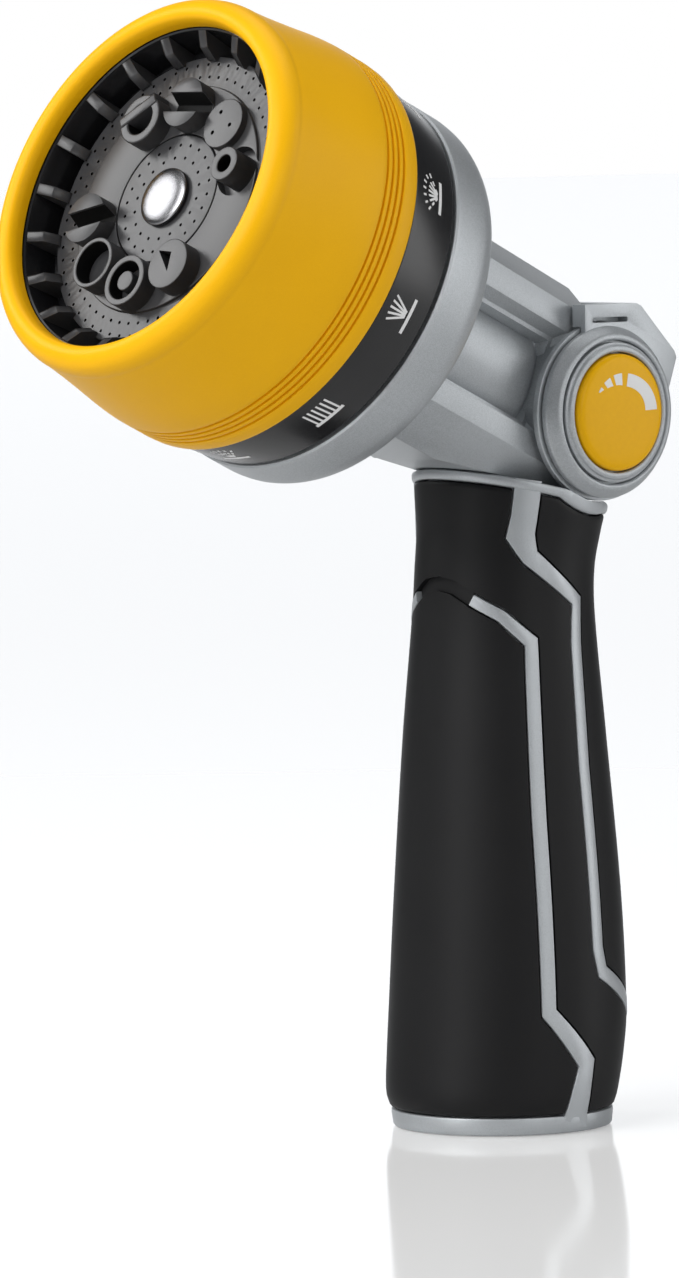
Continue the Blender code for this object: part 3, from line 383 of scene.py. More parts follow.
def turned(profile: Sequence[Point], segments: int = SEGMENTS) -> Shape:
    """Turn a closed (radius, height) profile about local Z.

    Args:
        profile: the profile's points.
        segments: how many sides the shape has.

    Returns:
        The closed shape.
    """
    shape = bmesh.new()
    rings = []
    for radius, height in profile:
        spots = circle(radius, segments) if radius > 1e-6 else [(0.0, 0.0)]
        rings.append([shape.verts.new((x, y, height)) for x, y in spots])
    for ring, after in zip(rings, rings[1:] + rings[:1]):
        if len(ring) == 1 and len(after) == 1:
            continue
        for i in range(segments):
            j = i + 1
            corners = (ring[i % len(ring)], ring[j % len(ring)], after[j % len(after)], after[i % len(after)])
            shape.faces.new(list(dict.fromkeys(corners)))
    return shape


def skinned(loops: Sequence[Sequence[Vector]], closed: bool = False) -> Shape:
    """Lay a skin over loops of the same count.

    Args:
        loops: the loops in order.
        closed: whether the last one joins the first; otherwise both ends are filled.

    Returns:
        The closed shape.
    """
    shape = bmesh.new()
    rings = [[shape.verts.new(spot) for spot in loop] for loop in loops]
    pairs = list(zip(rings, rings[1:]))
    if closed:
        pairs.append((rings[-1], rings[0]))
    for ring, after in pairs:
        for i in range(len(ring)):
            j = (i + 1) % len(ring)
            shape.faces.new((ring[i], ring[j], after[j], after[i]))
    if not closed:
        shape.faces.new(rings[0])
        shape.faces.new(list(reversed(rings[-1])))
    return shape


def prism(outline: Sequence[Point], low: float, high: float) -> Shape:
    """Raise a flat outline along local Z.

    Args:
        outline: the outline's points.
        low: where it starts.
        high: where it ends.

    Returns:
        The closed shape.
    """
    return skinned([[Vector((x, y, height)) for x, y in outline] for height in (low, high)])


def block(low: Sequence[float], high: Sequence[float]) -> Shape:
    """Make a block between two corners.

    Args:
        low: its lowest corner.
        high: its highest corner.

    Returns:
        The closed shape.
    """
    corners = [(low[0], low[1]), (high[0], low[1]), (high[0], high[1]), (low[0], high[1])]
    return prism(corners, low[2], high[2])


def rods(spots: Sequence[Point], radius: float, low: float, high: float, sides: int = SMALL) -> Shape:
    """Make equal round rods along local Z.

    Args:
        spots: where they stand.
        radius: their radius.
        low: where they start.
        high: where they end.
        sides: how many sides each has.

    Returns:
        The closed shapes in one.
    """
    outlines = [[(x + dx, y + dy) for dx, dy in circle(radius, sides)] for x, y in spots]
    return merged(*[prism(outline, low, high) for outline in outlines])


def merged(*shapes: Shape) -> Shape:
    """Put shapes side by side in one.

    Args:
        shapes: the shapes, which are used up.

    Returns:
        The one shape.
    """
    whole = bmesh.new()
    for shape in shapes:
        mesh = bpy.data.meshes.new("part")
        shape.to_mesh(mesh)
        shape.free()
        whole.from_mesh(mesh)
        bpy.data.meshes.remove(mesh)
    return whole


def moved(shape: Shape, matrix: Matrix) -> Shape:
    """Move a shape by a matrix.

    Args:
        shape: the shape, which is changed.
        matrix: the move.

    Returns:
        The same shape.
    """
    bmesh.ops.transform(shape, matrix=matrix, verts=shape.verts)
    return shape


class Join(Enum):
    """What happens where two shapes meet."""

    CUT = "DIFFERENCE"
    ADD = "UNION"


def combined(shape: Shape, tool: Shape, join: Join) -> Shape:
    """Cut one shape by another, or join them.

    Args:
        shape: the shape, which is used up.
        tool: the other shape, which is used up.
        join: what to do.

    Returns:
        The result.
    """
    objects = []
    for part in (shape, tool):
        bmesh.ops.recalc_face_normals(part, faces=part.faces)
        mesh = bpy.data.meshes.new("part")
        part.to_mesh(mesh)
        part.free()
        objects.append(bpy.data.objects.new("part", mesh))
        bpy.context.scene.collection.objects.link(objects[-1])
    modifier = objects[0].modifiers.new("join", "BOOLEAN")
    modifier.operation = join.value
    modifier.solver = "EXACT"
    modifier.object = objects[1]
    graph = bpy.context.evaluated_depsgraph_get()
    made = bpy.data.meshes.new_from_object(objects[0].evaluated_get(graph))
    result = bmesh.new()
    result.from_mesh(made)
    bpy.data.meshes.remove(made)
    for item in objects:
        mesh = item.data
        bpy.data.objects.remove(item)
        bpy.data.meshes.remove(mesh)
    return result


def softened(shape: Shape, width: float, angle: float = 28.0, steps: int = 2) -> Shape:
    """Round the sharp edges of a shape with flat faces.

    Args:
        shape: the shape, which is changed.
        width: how far from each edge the rounding starts.
        angle: edges that turn by more than this are rounded, in degrees.
        steps: how many pieces each rounding has.

    Returns:
        The same shape.
    """
    bmesh.ops.remove_doubles(shape, verts=shape.verts, dist=0.004)
    bmesh.ops.dissolve_limit(shape, angle_limit=radians(0.4), verts=shape.verts, edges=shape.edges)
    inner = [edge for edge in shape.edges if len(edge.link_faces) == 2]
    sharp = [edge for edge in inner if edge.calc_face_angle(0) > radians(angle)]
    bmesh.ops.bevel(
        shape,
        geom=sharp,
        offset=width,
        offset_type="OFFSET",
        segments=steps,
        profile=0.5,
        affect="EDGES",
        clamp_overlap=True,
    )
    return shape


def in_metres(matrix: Matrix) -> Matrix:
    """The same place with its distances in metres."""
    placed = matrix.copy()
    placed.translation *= MM
    return placed


@dataclass
class Maker:
    """Turns shapes into finished pieces that ride on one body in one place."""

    body: str
    place: Matrix
    crease: float = 32.0  # edges that turn by more than this look sharp, in degrees

    def piece(
        self,
        name: str,
        shape: Shape,
        finishes: Sequence[Finish],
        slot: str,
        *nodes: str,
    ) -> Piece:
        """Finish a shape as a piece.

        Args:
            name: the piece's name.
            shape: its shape, which is used up.
            finishes: its finishes, in the order of the faces' material numbers.
            slot: the record's material slot; not used.
            nodes: the CAD nodes it stands for.

        Returns:
            The piece.
        """
        bmesh.ops.recalc_face_normals(shape, faces=shape.faces)
        bmesh.ops.scale(shape, vec=(MM, MM, MM), verts=shape.verts)
        mesh = bpy.data.meshes.new(name)
        shape.to_mesh(mesh)
        shape.free()
        for polygon in mesh.polygons:
            polygon.use_smooth = True
        mesh.set_sharp_from_angle(angle=radians(self.crease))
        for finish in finishes:
            mesh.materials.append(finish.material())
        made = bpy.data.objects.new(name, mesh)
        bpy.context.scene.collection.objects.link(made)
        made.matrix_world = in_metres(self.place)
        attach(made, self.body)
        if nodes:
            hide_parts(*nodes)
        log.info("%s: %d faces", name, len(mesh.polygons))
        return made


@dataclass(frozen=True)
class Places:
    """Where the sub-assemblies sit, in millimetres."""

    handle: Matrix
    head: Matrix
    hub: Matrix

    @classmethod
    def read(cls, joints: Sequence[dict]) -> "Places":
        """Read them from the frame's joints.

        Args:
            joints: the frame's joints.

        Returns:
            The places.
        """
        by_name = {joint["name"]: joint for joint in joints}
        spray = Vector(by_name["dial_spin"]["pos_m"]) / MM
        tilt = asin(by_name["dial_spin"]["axis"][2])
        hub = Vector(by_name["lever_pivot"]["pos_m"]) / MM
        return cls(
            Matrix.Translation((0, spray.y, 0)),
            Matrix.Translation(spray) @ Matrix.Rotation(pi / 2 - tilt, 4, "X"),
            Matrix.Translation(hub),
        )


# --- the dial -----------------------------------------------------------------------------------
class Mark(Enum):
    """Marks on the dial's ring: how many rays, how wide they fan in degrees, and their dashes."""

    FAN = (5, 50.0, 1)
    SHOWER = (7, 110.0, 2)
    JET = (1, 0.0, 1)
    CONE = (2, 46.0, 1)
    SOAKER = (3, 0.0, 3)
    FLAT = (7, 128.0, 1)
    CENTRE = (3, 26.0, 1)
    MIST = (5, 70.0, 3)
    COMB = (6, 0.0, 1)
    ANGLE = (4, 36.0, 2)

    def strokes(self, half_bar: float, reach: float) -> list[tuple[Vector, Vector]]:
        """The mark's straight strokes, across and along the ring.

        Args:
            half_bar: half the length of its bar.
            reach: how far its rays go.

        Returns:
            Each stroke's two ends.
        """
        rays, spread, dashes = self.value
        made = [(Vector((-half_bar, 0)), Vector((half_bar, 0)))]
        for ray in range(rays):
            share = ray / (rays - 1) - 0.5 if rays > 1 else 0.0
            foot = Vector((share * 1.6 * half_bar if not spread else share * 0.9, 0.2 if not spread else 0.9))
            lean = Vector((sin(radians(share * spread)), cos(radians(share * spread))))
            cuts = {1: [(0.0, 1.0)], 2: [(0.0, 0.6), (0.78, 0.96)], 3: [(0.0, 0.2), (0.35, 0.55), (0.7, 0.9)]}
            outer = spread and abs(share) > 0.4
            for low, high in cuts[3 if dashes == 2 and outer else dashes]:
                made.append((foot + lean * reach * low, foot + lean * reach * high))
        return made


@dataclass
class SprayDial:
    """The turning dial: bezel, marked ring, ribbed cup, nozzle face, rose and centre dome."""

    places: Places
    bezel_radius: float = 37.9
    bezel_bore: float = 33.3
    groove_middles: Sequence[float] = (66.15, 67.5, 68.85, 70.2)
    groove_depth: float = 0.6
    ring_radii: Point = (35.65, 36.95)  # at the ring's back and front
    ring_ends: Point = (50.9, 62.0)
    first_mark: float = 22.1  # where the topmost mark lies, in degrees
    mark_foot: float = 55.0
    mark_half: float = 3.25
    mark_reach: float = 4.3
    cup_radius: float = 33.0
    cup_front: float = 90.6
    rib_count: int = 20
    rib_width: float = 2.0
    face_front: float = 86.1
    face_step: float = 0.6
    nozzle_circle: float = 16.9
    nozzle_radius: float = 4.65
    nozzle_front: float = 89.5
    nozzle_sink: float = 1.8  # how far under the face's surface they start
    rose_radius: float = 12.0
    dome_radius: float = 5.45
    pinhole: float = 0.33
    maker: Maker = field(init=False)

    def __post_init__(self) -> None:
        """Everything here rides on the dial."""
        self.maker = Maker("dial", self.places.head)

    def build(self) -> None:
        """Make every piece of the dial."""
        self.bezel()
        self.marked_ring()
        self.cup()
        self.nozzle_face()
        self.rose()
        self.dome()

    def bezel(self) -> Piece:
        """Yellow grip ring with four grooves and a rolled front lip.

        Returns:
            The piece.
        """
        rim = self.bezel_radius
        profile = [(self.bezel_bore, 62.3), (37.0, 62.3), (37.4, 62.4), (37.68, 62.7), (37.8, 63.2)]
        profile.append((rim, 64.6))
        for middle in self.groove_middles:
            deep = rim - self.groove_depth
            profile += [(rim, middle - 0.5), (rim - 0.1, middle - 0.27), (deep, middle - 0.14)]
            profile += [(deep, middle + 0.14), (rim - 0.12, middle + 0.27), (rim - 0.02, middle + 0.5)]
        front = [(37.85, 71.4), (37.55, 74.5), (36.75, 80), (36.1, 85), (35.75, 88.4), (35.6, 89.7)]
        front += [(35.62, 90.6), (35.42, 91.7), (34.9, 92.8), (34.0, 93.7), (32.9, 94.2), (31.9, 94.15)]
        front += [(31.15, 93.6), (30.75, 92.6), (30.62, 91.6), (30.6, 90.9)]
        profile += flowing(front) + [(self.bezel_bore, 90.9)]
        return self.maker.piece("bezel", turned(profile), [YELLOW_RUBBER], "yellow_rubber", "dial_bezel")

    def marked_ring(self) -> Piece:
        """Gloss black ring with a white mark for each spray pattern.

        Returns:
            The ring.
        """
        back, front = self.ring_radii
        low, high = self.ring_ends
        inner = self.bezel_bore
        profile = eased([(inner, low, 0), (back, low, 0.45), (front, high, 0.3), (inner, high, 0)])
        ring = self.maker.piece("marked_ring", turned(profile), [GLOSS_BLACK], "gloss_black", "icon_ring")
        step = 360 / PORTS
        kinds = enumerate(self.mark_order())
        marks = [self.mark(kind, self.first_mark - step * number) for number, kind in kinds]
        self.maker.piece("ring_marks", merged(*marks), [WHITE_INK], "gloss_black")
        return ring

    @staticmethod
    def mark_order() -> list[Mark]:
        """The marks in order down the ring's right side, from the one nearest the top."""
        first = [Mark.SHOWER, Mark.FAN, Mark.COMB, Mark.MIST]
        return first + [mark for mark in Mark if mark not in first]

    def mark(self, kind: Mark, angle: float) -> Shape:
        """One mark, printed on the ring.

        Args:
            kind: which mark.
            angle: where its middle lies round the ring, in degrees.

        Returns:
            Its strokes in one shape.
        """
        strokes = []
        for number, (start, end) in enumerate(kind.strokes(self.mark_half, self.mark_reach)):
            half = 0.36 if number == 0 else 0.2
            across = Vector((start.y - end.y, end.x - start.x)).normalized() * half
            loops = []
            for step in range(7):
                spot = start.lerp(end, step / 6)
                sides = (spot + across, spot - across)
                loop = [self.on_ring(side, angle, 0.05) for side in sides]
                loop += [self.on_ring(side, angle, -0.1) for side in reversed(sides)]
                loops.append(loop)
            strokes.append(skinned(loops))
        return merged(*strokes)

    def on_ring(self, spot: Vector, angle: float, lift: float) -> Vector:
        """A place on the marked ring.

        Args:
            spot: how far round the ring and how far towards the spray, from the mark's foot.
            angle: where the mark's middle lies round the ring, in degrees.
            lift: the height above the ring's surface.

        Returns:
            The place in the head's frame.
        """
        height = self.mark_foot + spot.y
        share = (height - self.ring_ends[0]) / (self.ring_ends[1] - self.ring_ends[0])
        radius = self.ring_radii[0] + (self.ring_radii[1] - self.ring_radii[0]) * share
        turn = radians(angle) + spot.x / radius
        return Vector(((radius + lift) * cos(turn), (radius + lift) * sin(turn), height))

    def cup(self) -> Piece:
        """Black cup with ribs round its mouth.

        Returns:
            The piece.
        """
        front, outer = self.cup_front, self.cup_radius
        profile = [(5.5, 59.9), (31.0, 59.9), (31.0, 50.9), (outer, 50.9), (outer, front), (30.5, front)]
        profile += [(30.25, front - 0.25), (30.1, front - 1.0), (29.6, 83.6), (27.7, 83.2), (27.6, 62.6)]
        profile.append((5.5, 62.6))
        holes = rods(self.ports(), 2.8, 58, 64, 24)
        cup = combined(turned(profile), holes, Join.CUT)
        side = [(31.2, 83.4), (31.2, 90.3), (30.1, 90.2), (27.7, 88.7), (26.4, 86.1), (26.4, 85.7)]
        side.append((27.5, 83.4))
        half = self.rib_width / 2
        for number in range(self.rib_count):
            rib = softened(skinned([[Vector((r, y, s)) for r, s in side] for y in (-half, half)]), 0.16)
            for face in rib.faces:
                face.material_index = 1
            cup = merged(cup, moved(rib, Matrix.Rotation(2 * pi * number / self.rib_count, 4, "Z")))
        return self.maker.piece("ribbed_cup", cup, [GLOSS_BLACK, FACE_GREY], "gloss_black", "pattern_cup")

    def ports(self) -> list[Point]:
        """Where the nozzles stand, anticlockwise from the first one above +X."""
        return circle(self.nozzle_circle, PORTS, FIRST_PORT)

    def nozzle(self, number: int, shape: Shape, turn: float = 0.0) -> Shape:
        """Stand a nozzle at its place on the face.

        Args:
            number: its place, anticlockwise from the first one above +X.
            shape: its shape, standing on the origin with its front at the nozzle height.
            turn: how far it is turned about itself, in degrees.

        Returns:
            The shape in the head's frame.
        """
        x, y = self.ports()[number]
        return moved(shape, Matrix.Translation((x, y, 0)) @ Matrix.Rotation(radians(turn), 4, "Z"))

    def post(self, outer: float, front: float, bore: float = 0.0, ease: float = 0.18) -> Shape:
        """A round nozzle, whose bore, if it has one, is painted black as shade.

        Args:
            outer: its outer radius.
            front: how far forward it comes.
            bore: its bore's radius, or 0.
            ease: how far its rim is rounded.

        Returns:
            The shape.
        """
        low = self.face_front - self.nozzle_sink
        if not bore:
            return turned(eased([(0, low, 0), (outer, low, 0), (outer, front, ease), (0, front, 0)]), SMALL)
        floor = low + 0.3
        corners = [(0, low, 0), (outer, low, 0), (outer, front, ease), (bore, front, ease)]
        corners += [(bore, floor, 0), (0, floor, 0)]
        return self.shade_bore(turned(eased(corners), SMALL), bore, front)

    def shade_bore(self, shape: Shape, bore: float, front: float) -> Shape:
        """Number the faces inside a bore as the second material, the black that paints the shade deep in the bore.

        Args:
            shape: the nozzle.
            bore: the bore's radius.
            front: how far forward the nozzle comes.

        Returns:
            The same shape.
        """
        for face in shape.faces:
            middle = face.calc_center_median()
            if middle.xy.length < bore + 0.02 and middle.z < front - 0.35:
                face.material_index = 1
        return shape

    def slotted(self, width: float) -> Shape:
        """A nozzle with a wide slot across it whose walls lean inwards.

        Args:
            width: the slot's width at the front.

        Returns:
            The shape.
        """
        low, front = self.face_front - self.nozzle_sink, self.nozzle_front
        body = prism(circle(self.nozzle_radius, SMALL), low, front)
        half, depth = width / 2, 3.1
        walls = [(-half * 0.35, front - depth), (half * 0.35, front - depth), (half, front - 0.5)]
        walls += [(half, front + 1), (-half, front + 1), (-half, front - 0.5)]
        cutter = skinned([[Vector((x, y, s)) for y, s in walls] for x in (-8, 8)])
        body = combined(body, cutter, Join.CUT)
        return self.shade_slot(softened(body, 0.12, 40), half, front)

    @staticmethod
    def shade_slot(shape: Shape, half: float, front: float) -> Shape:
        """Number the deep faces of a slot as the second material, the black that paints the shade in the slot.

        Args:
            shape: the nozzle.
            half: half the slot's width.
            front: how far forward the nozzle comes.

        Returns:
            The same shape.
        """
        for face in shape.faces:
            middle = face.calc_center_median()
            if abs(middle.y) < half - 0.05 and middle.z < front - 0.9 and middle.xy.length < 4.4:
                face.material_index = 1
        return shape

    def hooded(self) -> Shape:
        """A nozzle whose large bore is sheltered by a flat hood.

        Returns:
            The shape.
        """
        low, front = self.face_front - self.nozzle_sink, self.nozzle_front
        outline = [(-4.35, 0.9), (-4.35, 2.9), (-3.1, 4.9), (3.1, 4.9), (4.35, 2.9), (4.35, 0.9)]
        slope = [(2.2, front + 0.6), (5.6, front - 2.0), (5.6, front + 2)]
        cutter = skinned([[Vector((x, y, s)) for y, s in slope] for x in (-8, 8)])
        hood = combined(prism(outline, low, front + 0.25), cutter, Join.CUT)
        return merged(softened(hood, 0.3, 25, 3), self.post(self.nozzle_radius, front, 2.95, 0.3))

    def nozzle_face(self) -> Piece:
        """Grey face with eight nozzles and two rings of pinholes.

        Returns:
            The piece.
        """
        front, back = self.face_front, 82.3
        outer = front - self.face_step
        edge = self.rose_radius + GAP
        profile = eased(
            [(10.7, back, 0), (27.3, back, 0), (27.3, outer, 0.3), (21.5, outer, 0.12), (21.5, front, 0.2)]
            + [(edge, front, 0.15), (edge, front - 1.8, 0), (10.7, front - 1.8, 0)]
        )
        face = turned(profile)
        holes = [
            rods(circle(23.4, 60), self.pinhole, outer - 1.2, outer + 1, 8),
            rods(circle(25.8, 60, 3), self.pinhole, outer - 1.2, outer + 1, 8),
            rods(self.ports()[:1], self.nozzle_radius, front - 1.7, front + 1),
        ]
        face = combined(face, merged(*holes), Join.CUT)
        self.shade_pinholes(face, (front, outer))
        tall, wide = self.nozzle_front, self.nozzle_radius
        drops = rods([(-1.4, 2.1), (1.9, -0.3), (-1.9, -1.8)], 0.42, front - 1, front + 3, 12)
        mist = combined(self.post(wide, front + 1.4), drops, Join.CUT)
        triangle = prism([(-3.3, 2.4), (0.1, 2.2), (0.6, -1.5)], front, tall + 1)
        pierced = combined(self.post(wide, tall), triangle, Join.CUT)
        ring = merged(self.post(4.75, tall, 3.6), self.post(1.85, tall - 0.2))
        nozzles = [
            self.nozzle(0, self.post(3.15, tall, 1.6)),
            self.nozzle(1, self.shade_holes(mist, front + 1.1)),
            self.nozzle(2, self.slotted(3.7)),
            self.nozzle(3, self.hooded(), 36),
            self.nozzle(5, self.slotted(3.5), 14),
            self.nozzle(6, self.post(4.75, tall, 3.95)),
            self.nozzle(7, ring),
            self.nozzle(8, self.shade_holes(pierced, tall - 0.3)),
        ]
        whole = merged(face, *nozzles)
        return self.maker.piece("nozzle_face", whole, [FACE_GREY, SHADE_BLACK], "face_grey", "spray_face")

    def shade_pinholes(self, shape: Shape, levels: Point) -> None:
        """Number the small faces under the surface as the second material, the black that paints the shade in the
        pinholes.

        Args:
            shape: the face or the rose.
            levels: the heights of its surfaces.
        """
        for face in shape.faces:
            middle = face.calc_center_median()
            deep = all(middle.z < level - 0.3 for level in levels)
            if deep and middle.z > 84.5 and face.calc_area() < 0.6 and middle.xy.length < 27.0:
                face.material_index = 1

    @staticmethod
    def shade_holes(shape: Shape, level: float) -> Shape:
        """Number a nozzle's inner faces below a level as the second material, the black that paints the shade in
        its holes.

        Args:
            shape: the nozzle.
            level: the height that they lie under.

        Returns:
            The same shape.
        """
        for face in shape.faces:
            middle = face.calc_center_median()
            if middle.z < level and 0.02 < middle.xy.length < 4.3 and face.calc_area() < 9:
                face.material_index = 1
        return shape

    def rose(self) -> Piece:
        """Inner disc with two rings of pinholes.

        Returns:
            The piece.
        """
        front = self.face_front
        low = front - 1.5
        rim = self.rose_radius
        disc = turned(eased([(3.2, low, 0), (rim, low, 0), (rim, front, 0.15), (3.2, front, 0)]))
        holes = merged(
            rods(circle(7.75, 18), self.pinhole, front - 1.2, front + 1, 8),
            rods(circle(10.15, 24, 5), self.pinhole, front - 1.2, front + 1, 8),
        )
        disc = combined(disc, holes, Join.CUT)
        # Painted shade: the pinholes' walls and floors take the black second material
        for face in disc.faces:
            middle = face.calc_center_median()
            if low + 0.1 < middle.z < front - 0.3 and 7.0 < middle.xy.length < 10.9:
                face.material_index = 1
        return self.maker.piece("rose", disc, [FACE_GREY, SHADE_BLACK], "face_grey", "rose_disc")

    def dome(self) -> Piece:
        """Low spun dome in the middle.

        Returns:
            The piece.
        """
        low, rim = self.face_front + GAP, self.dome_radius
        rise = [(rim, 0.25), (rim - 0.1, 0.62), (4.6, 0.95), (3.0, 1.2), (0, 1.32)]
        curve = flowing([(radius, low + height) for radius, height in rise])
        profile = [(0, low - 1.5), (2.9, low - 1.5), (2.9, low), (rim - 0.15, low)] + curve
        return self.maker.piece("centre_dome", turned(profile, 96), [DOME_CHROME], "chrome_cap", "centre_cap")


# --- fixed metal of the head --------------------------------------------------------------------
@dataclass
class FixedHead:
    """The collar behind the dial and the casting that carries it."""

    places: Places
    collar_radius: float = 36.0
    collar_front: float = 50.2
    collar_hole: float = 23.4
    outline: Sequence[Point] = ((7.0, 21.0), (14.0, 15.6), (14.0, -12.4), (8.0, -19.6))
    flare_start: float = 29.6
    barrel_radius: float = 14.4
    barrel_rim: float = 16.0
    barrel_half: float = 16.7
    tube_radius: float = 12.35
    ridge_end: float = 1.2  # how far past the hub's middle the neck's ridge reaches
    lip_height: float = 115.9
    lip_slope: float = 13.5
    maker: Maker = field(init=False)

    def __post_init__(self) -> None:
        """Everything here rides on the body."""
        self.maker = Maker("body", self.places.head, 26.0)

    def build(self) -> None:
        """Make the collar and the casting."""
        self.collar()
        self.casting()

    def collar(self) -> Piece:
        """Dished collar with a thin bright front edge.

        Returns:
            The piece.
        """
        front, rim, hole = self.collar_front, self.collar_radius, self.collar_hole
        back = flowing([(hole, 34.5), (28.0, 35.6), (31.5, 37.2), (34.2, 39.4), (35.6, 42.0), (rim, 44.4)], 6)
        profile = back + eased([(rim, front - 0.9, 0), (rim, front - 0.35, 0), (rim - 0.45, front, 0.1)])
        profile += [(34.0, front), (34.0, 43.6), (32.9, 41.6), (30.9, 39.3), (hole, 36.7)]
        return self.maker.piece("front_ring", turned(profile), [SILVER_PAINT], "silver_paint", "front_collar")

    def neck_loop(self, station: float, scale: float) -> list[Vector]:
        """The neck's outline at one station.

        Args:
            station: the height along the spray axis.
            scale: how much larger than the plain outline it is.

        Returns:
            The loop of points.
        """
        right = [(x * scale, y * scale) for x, y in self.outline]
        return [Vector((x, y, station)) for x, y in right + [(-x, y) for x, y in reversed(right)]]

    def to_head(self, place: Matrix) -> Matrix:
        """The move from another sub-assembly's place to the head's."""
        return self.places.head.inverted() @ place

    def neck(self) -> Shape:
        """The eight-sided neck with a window in each side and a flared front.

        Returns:
            The shape in the head's frame.
        """
        flare = self.flare_start
        stations = [(-24.0, 1.0), (flare, 1.03), (flare + 2.6, 1.17), (40.0, 1.17)]
        neck = skinned([self.neck_loop(*station) for station in stations])
        hub = self.places.hub.translation
        above = block((-30, hub.y + self.ridge_end, hub.z + 3.9), (30, hub.y + 40, hub.z + 60))
        behind = block((-30, hub.y - 2, 80), (30, hub.y + 40, hub.z + 4))
        slope = Matrix.Translation((0, 0, self.lip_height + GAP))
        slope @= Matrix.Rotation(-radians(self.lip_slope), 4, "X")
        under = moved(block((-50, -23, -60), (50, 60, 0)), self.places.handle @ slope)
        for trim in (above, behind, under):
            neck = combined(neck, moved(trim, self.to_head(Matrix.Identity(4))), Join.CUT)
        for side in (1, -1):
            neck = combined(neck, self.window(side), Join.CUT)
        return softened(neck, 0.42)

    @staticmethod
    def window(side: int) -> Shape:
        """The stepped recess in one side of the neck.

        Args:
            side: 1 for the right side, -1 for the left.

        Returns:
            The cutter.
        """
        outlines = [(16.0, -8.9, 12.4, -0.6, 27.6), (11.9, -7.6, 9.7, 1.2, 24.9)]
        outlines += [(11.9, -7.0, 8.9, 2.0, 24.1), (9.2, -7.0, 8.2, 2.4, 23.5)]
        loops = []
        for x, low, high, near, far in outlines:
            corners = ((low, near), (high, near), (high, far), (low, far))
            loops.append([Vector((side * x, v, s)) for v, s in corners])
        return skinned(loops)

    def flow_tube(self) -> Shape:
        """The water way's round back, which shows in the windows.

        Returns:
            The shape in the head's frame.
        """
        radius = self.tube_radius
        corners = [(0, 1.0, 0), (11.2, 1.0, 0), (radius, 3.4, 0.5), (radius, 22.6, 0.4), (0, 22.6, 0)]
        under = block((-30, -40, -5), (30, -7.3, 40))
        return combined(turned(eased(corners), 120), under, Join.CUT)

    def barrel(self) -> Shape:
        """The cross barrel that holds the valve.

        Returns:
            The shape in the head's frame.
        """
        half, rim, radius = self.barrel_half, self.barrel_rim, self.barrel_radius
        corners = [(8.9, -half, 0), (rim, -half, 0.25), (rim, -half + 1.3, 0.25), (radius, -half + 1.3, 0.2)]
        corners += [(radius, half - 1.3, 0.2), (rim, half - 1.3, 0.25), (rim, half, 0.25), (8.9, half, 0)]
        return moved(turned(eased(corners)), self.to_head(self.places.hub @ Matrix.Rotation(pi / 2, 4, "Y")))

    def casting(self) -> Piece:
        """Neck, cross barrel, flange and spigot in one casting.

        Returns:
            The piece.
        """
        fit = self.collar_hole - GAP
        boss = turned(eased([(0, 33.0, 0), (fit, 33.0, 0.3), (fit, 41, 0), (0, 41, 0)]))
        flange = turned([(0, 40.5), (30.0, 40.5), (30.0, 43.2), (0, 43.2)], 96)
        spigot = turned(eased([(8.3, 83, 0), (12.0, 83, 0.4), (12.0, 114, 0), (8.3, 114, 0)]), 96)
        spigot = moved(spigot, self.to_head(self.places.handle))
        whole = merged(self.neck(), self.flow_tube(), self.barrel(), boss, flange, spigot)
        return self.maker.piece("neck", whole, [SILVER_PAINT], "silver_paint", "neck_casting")


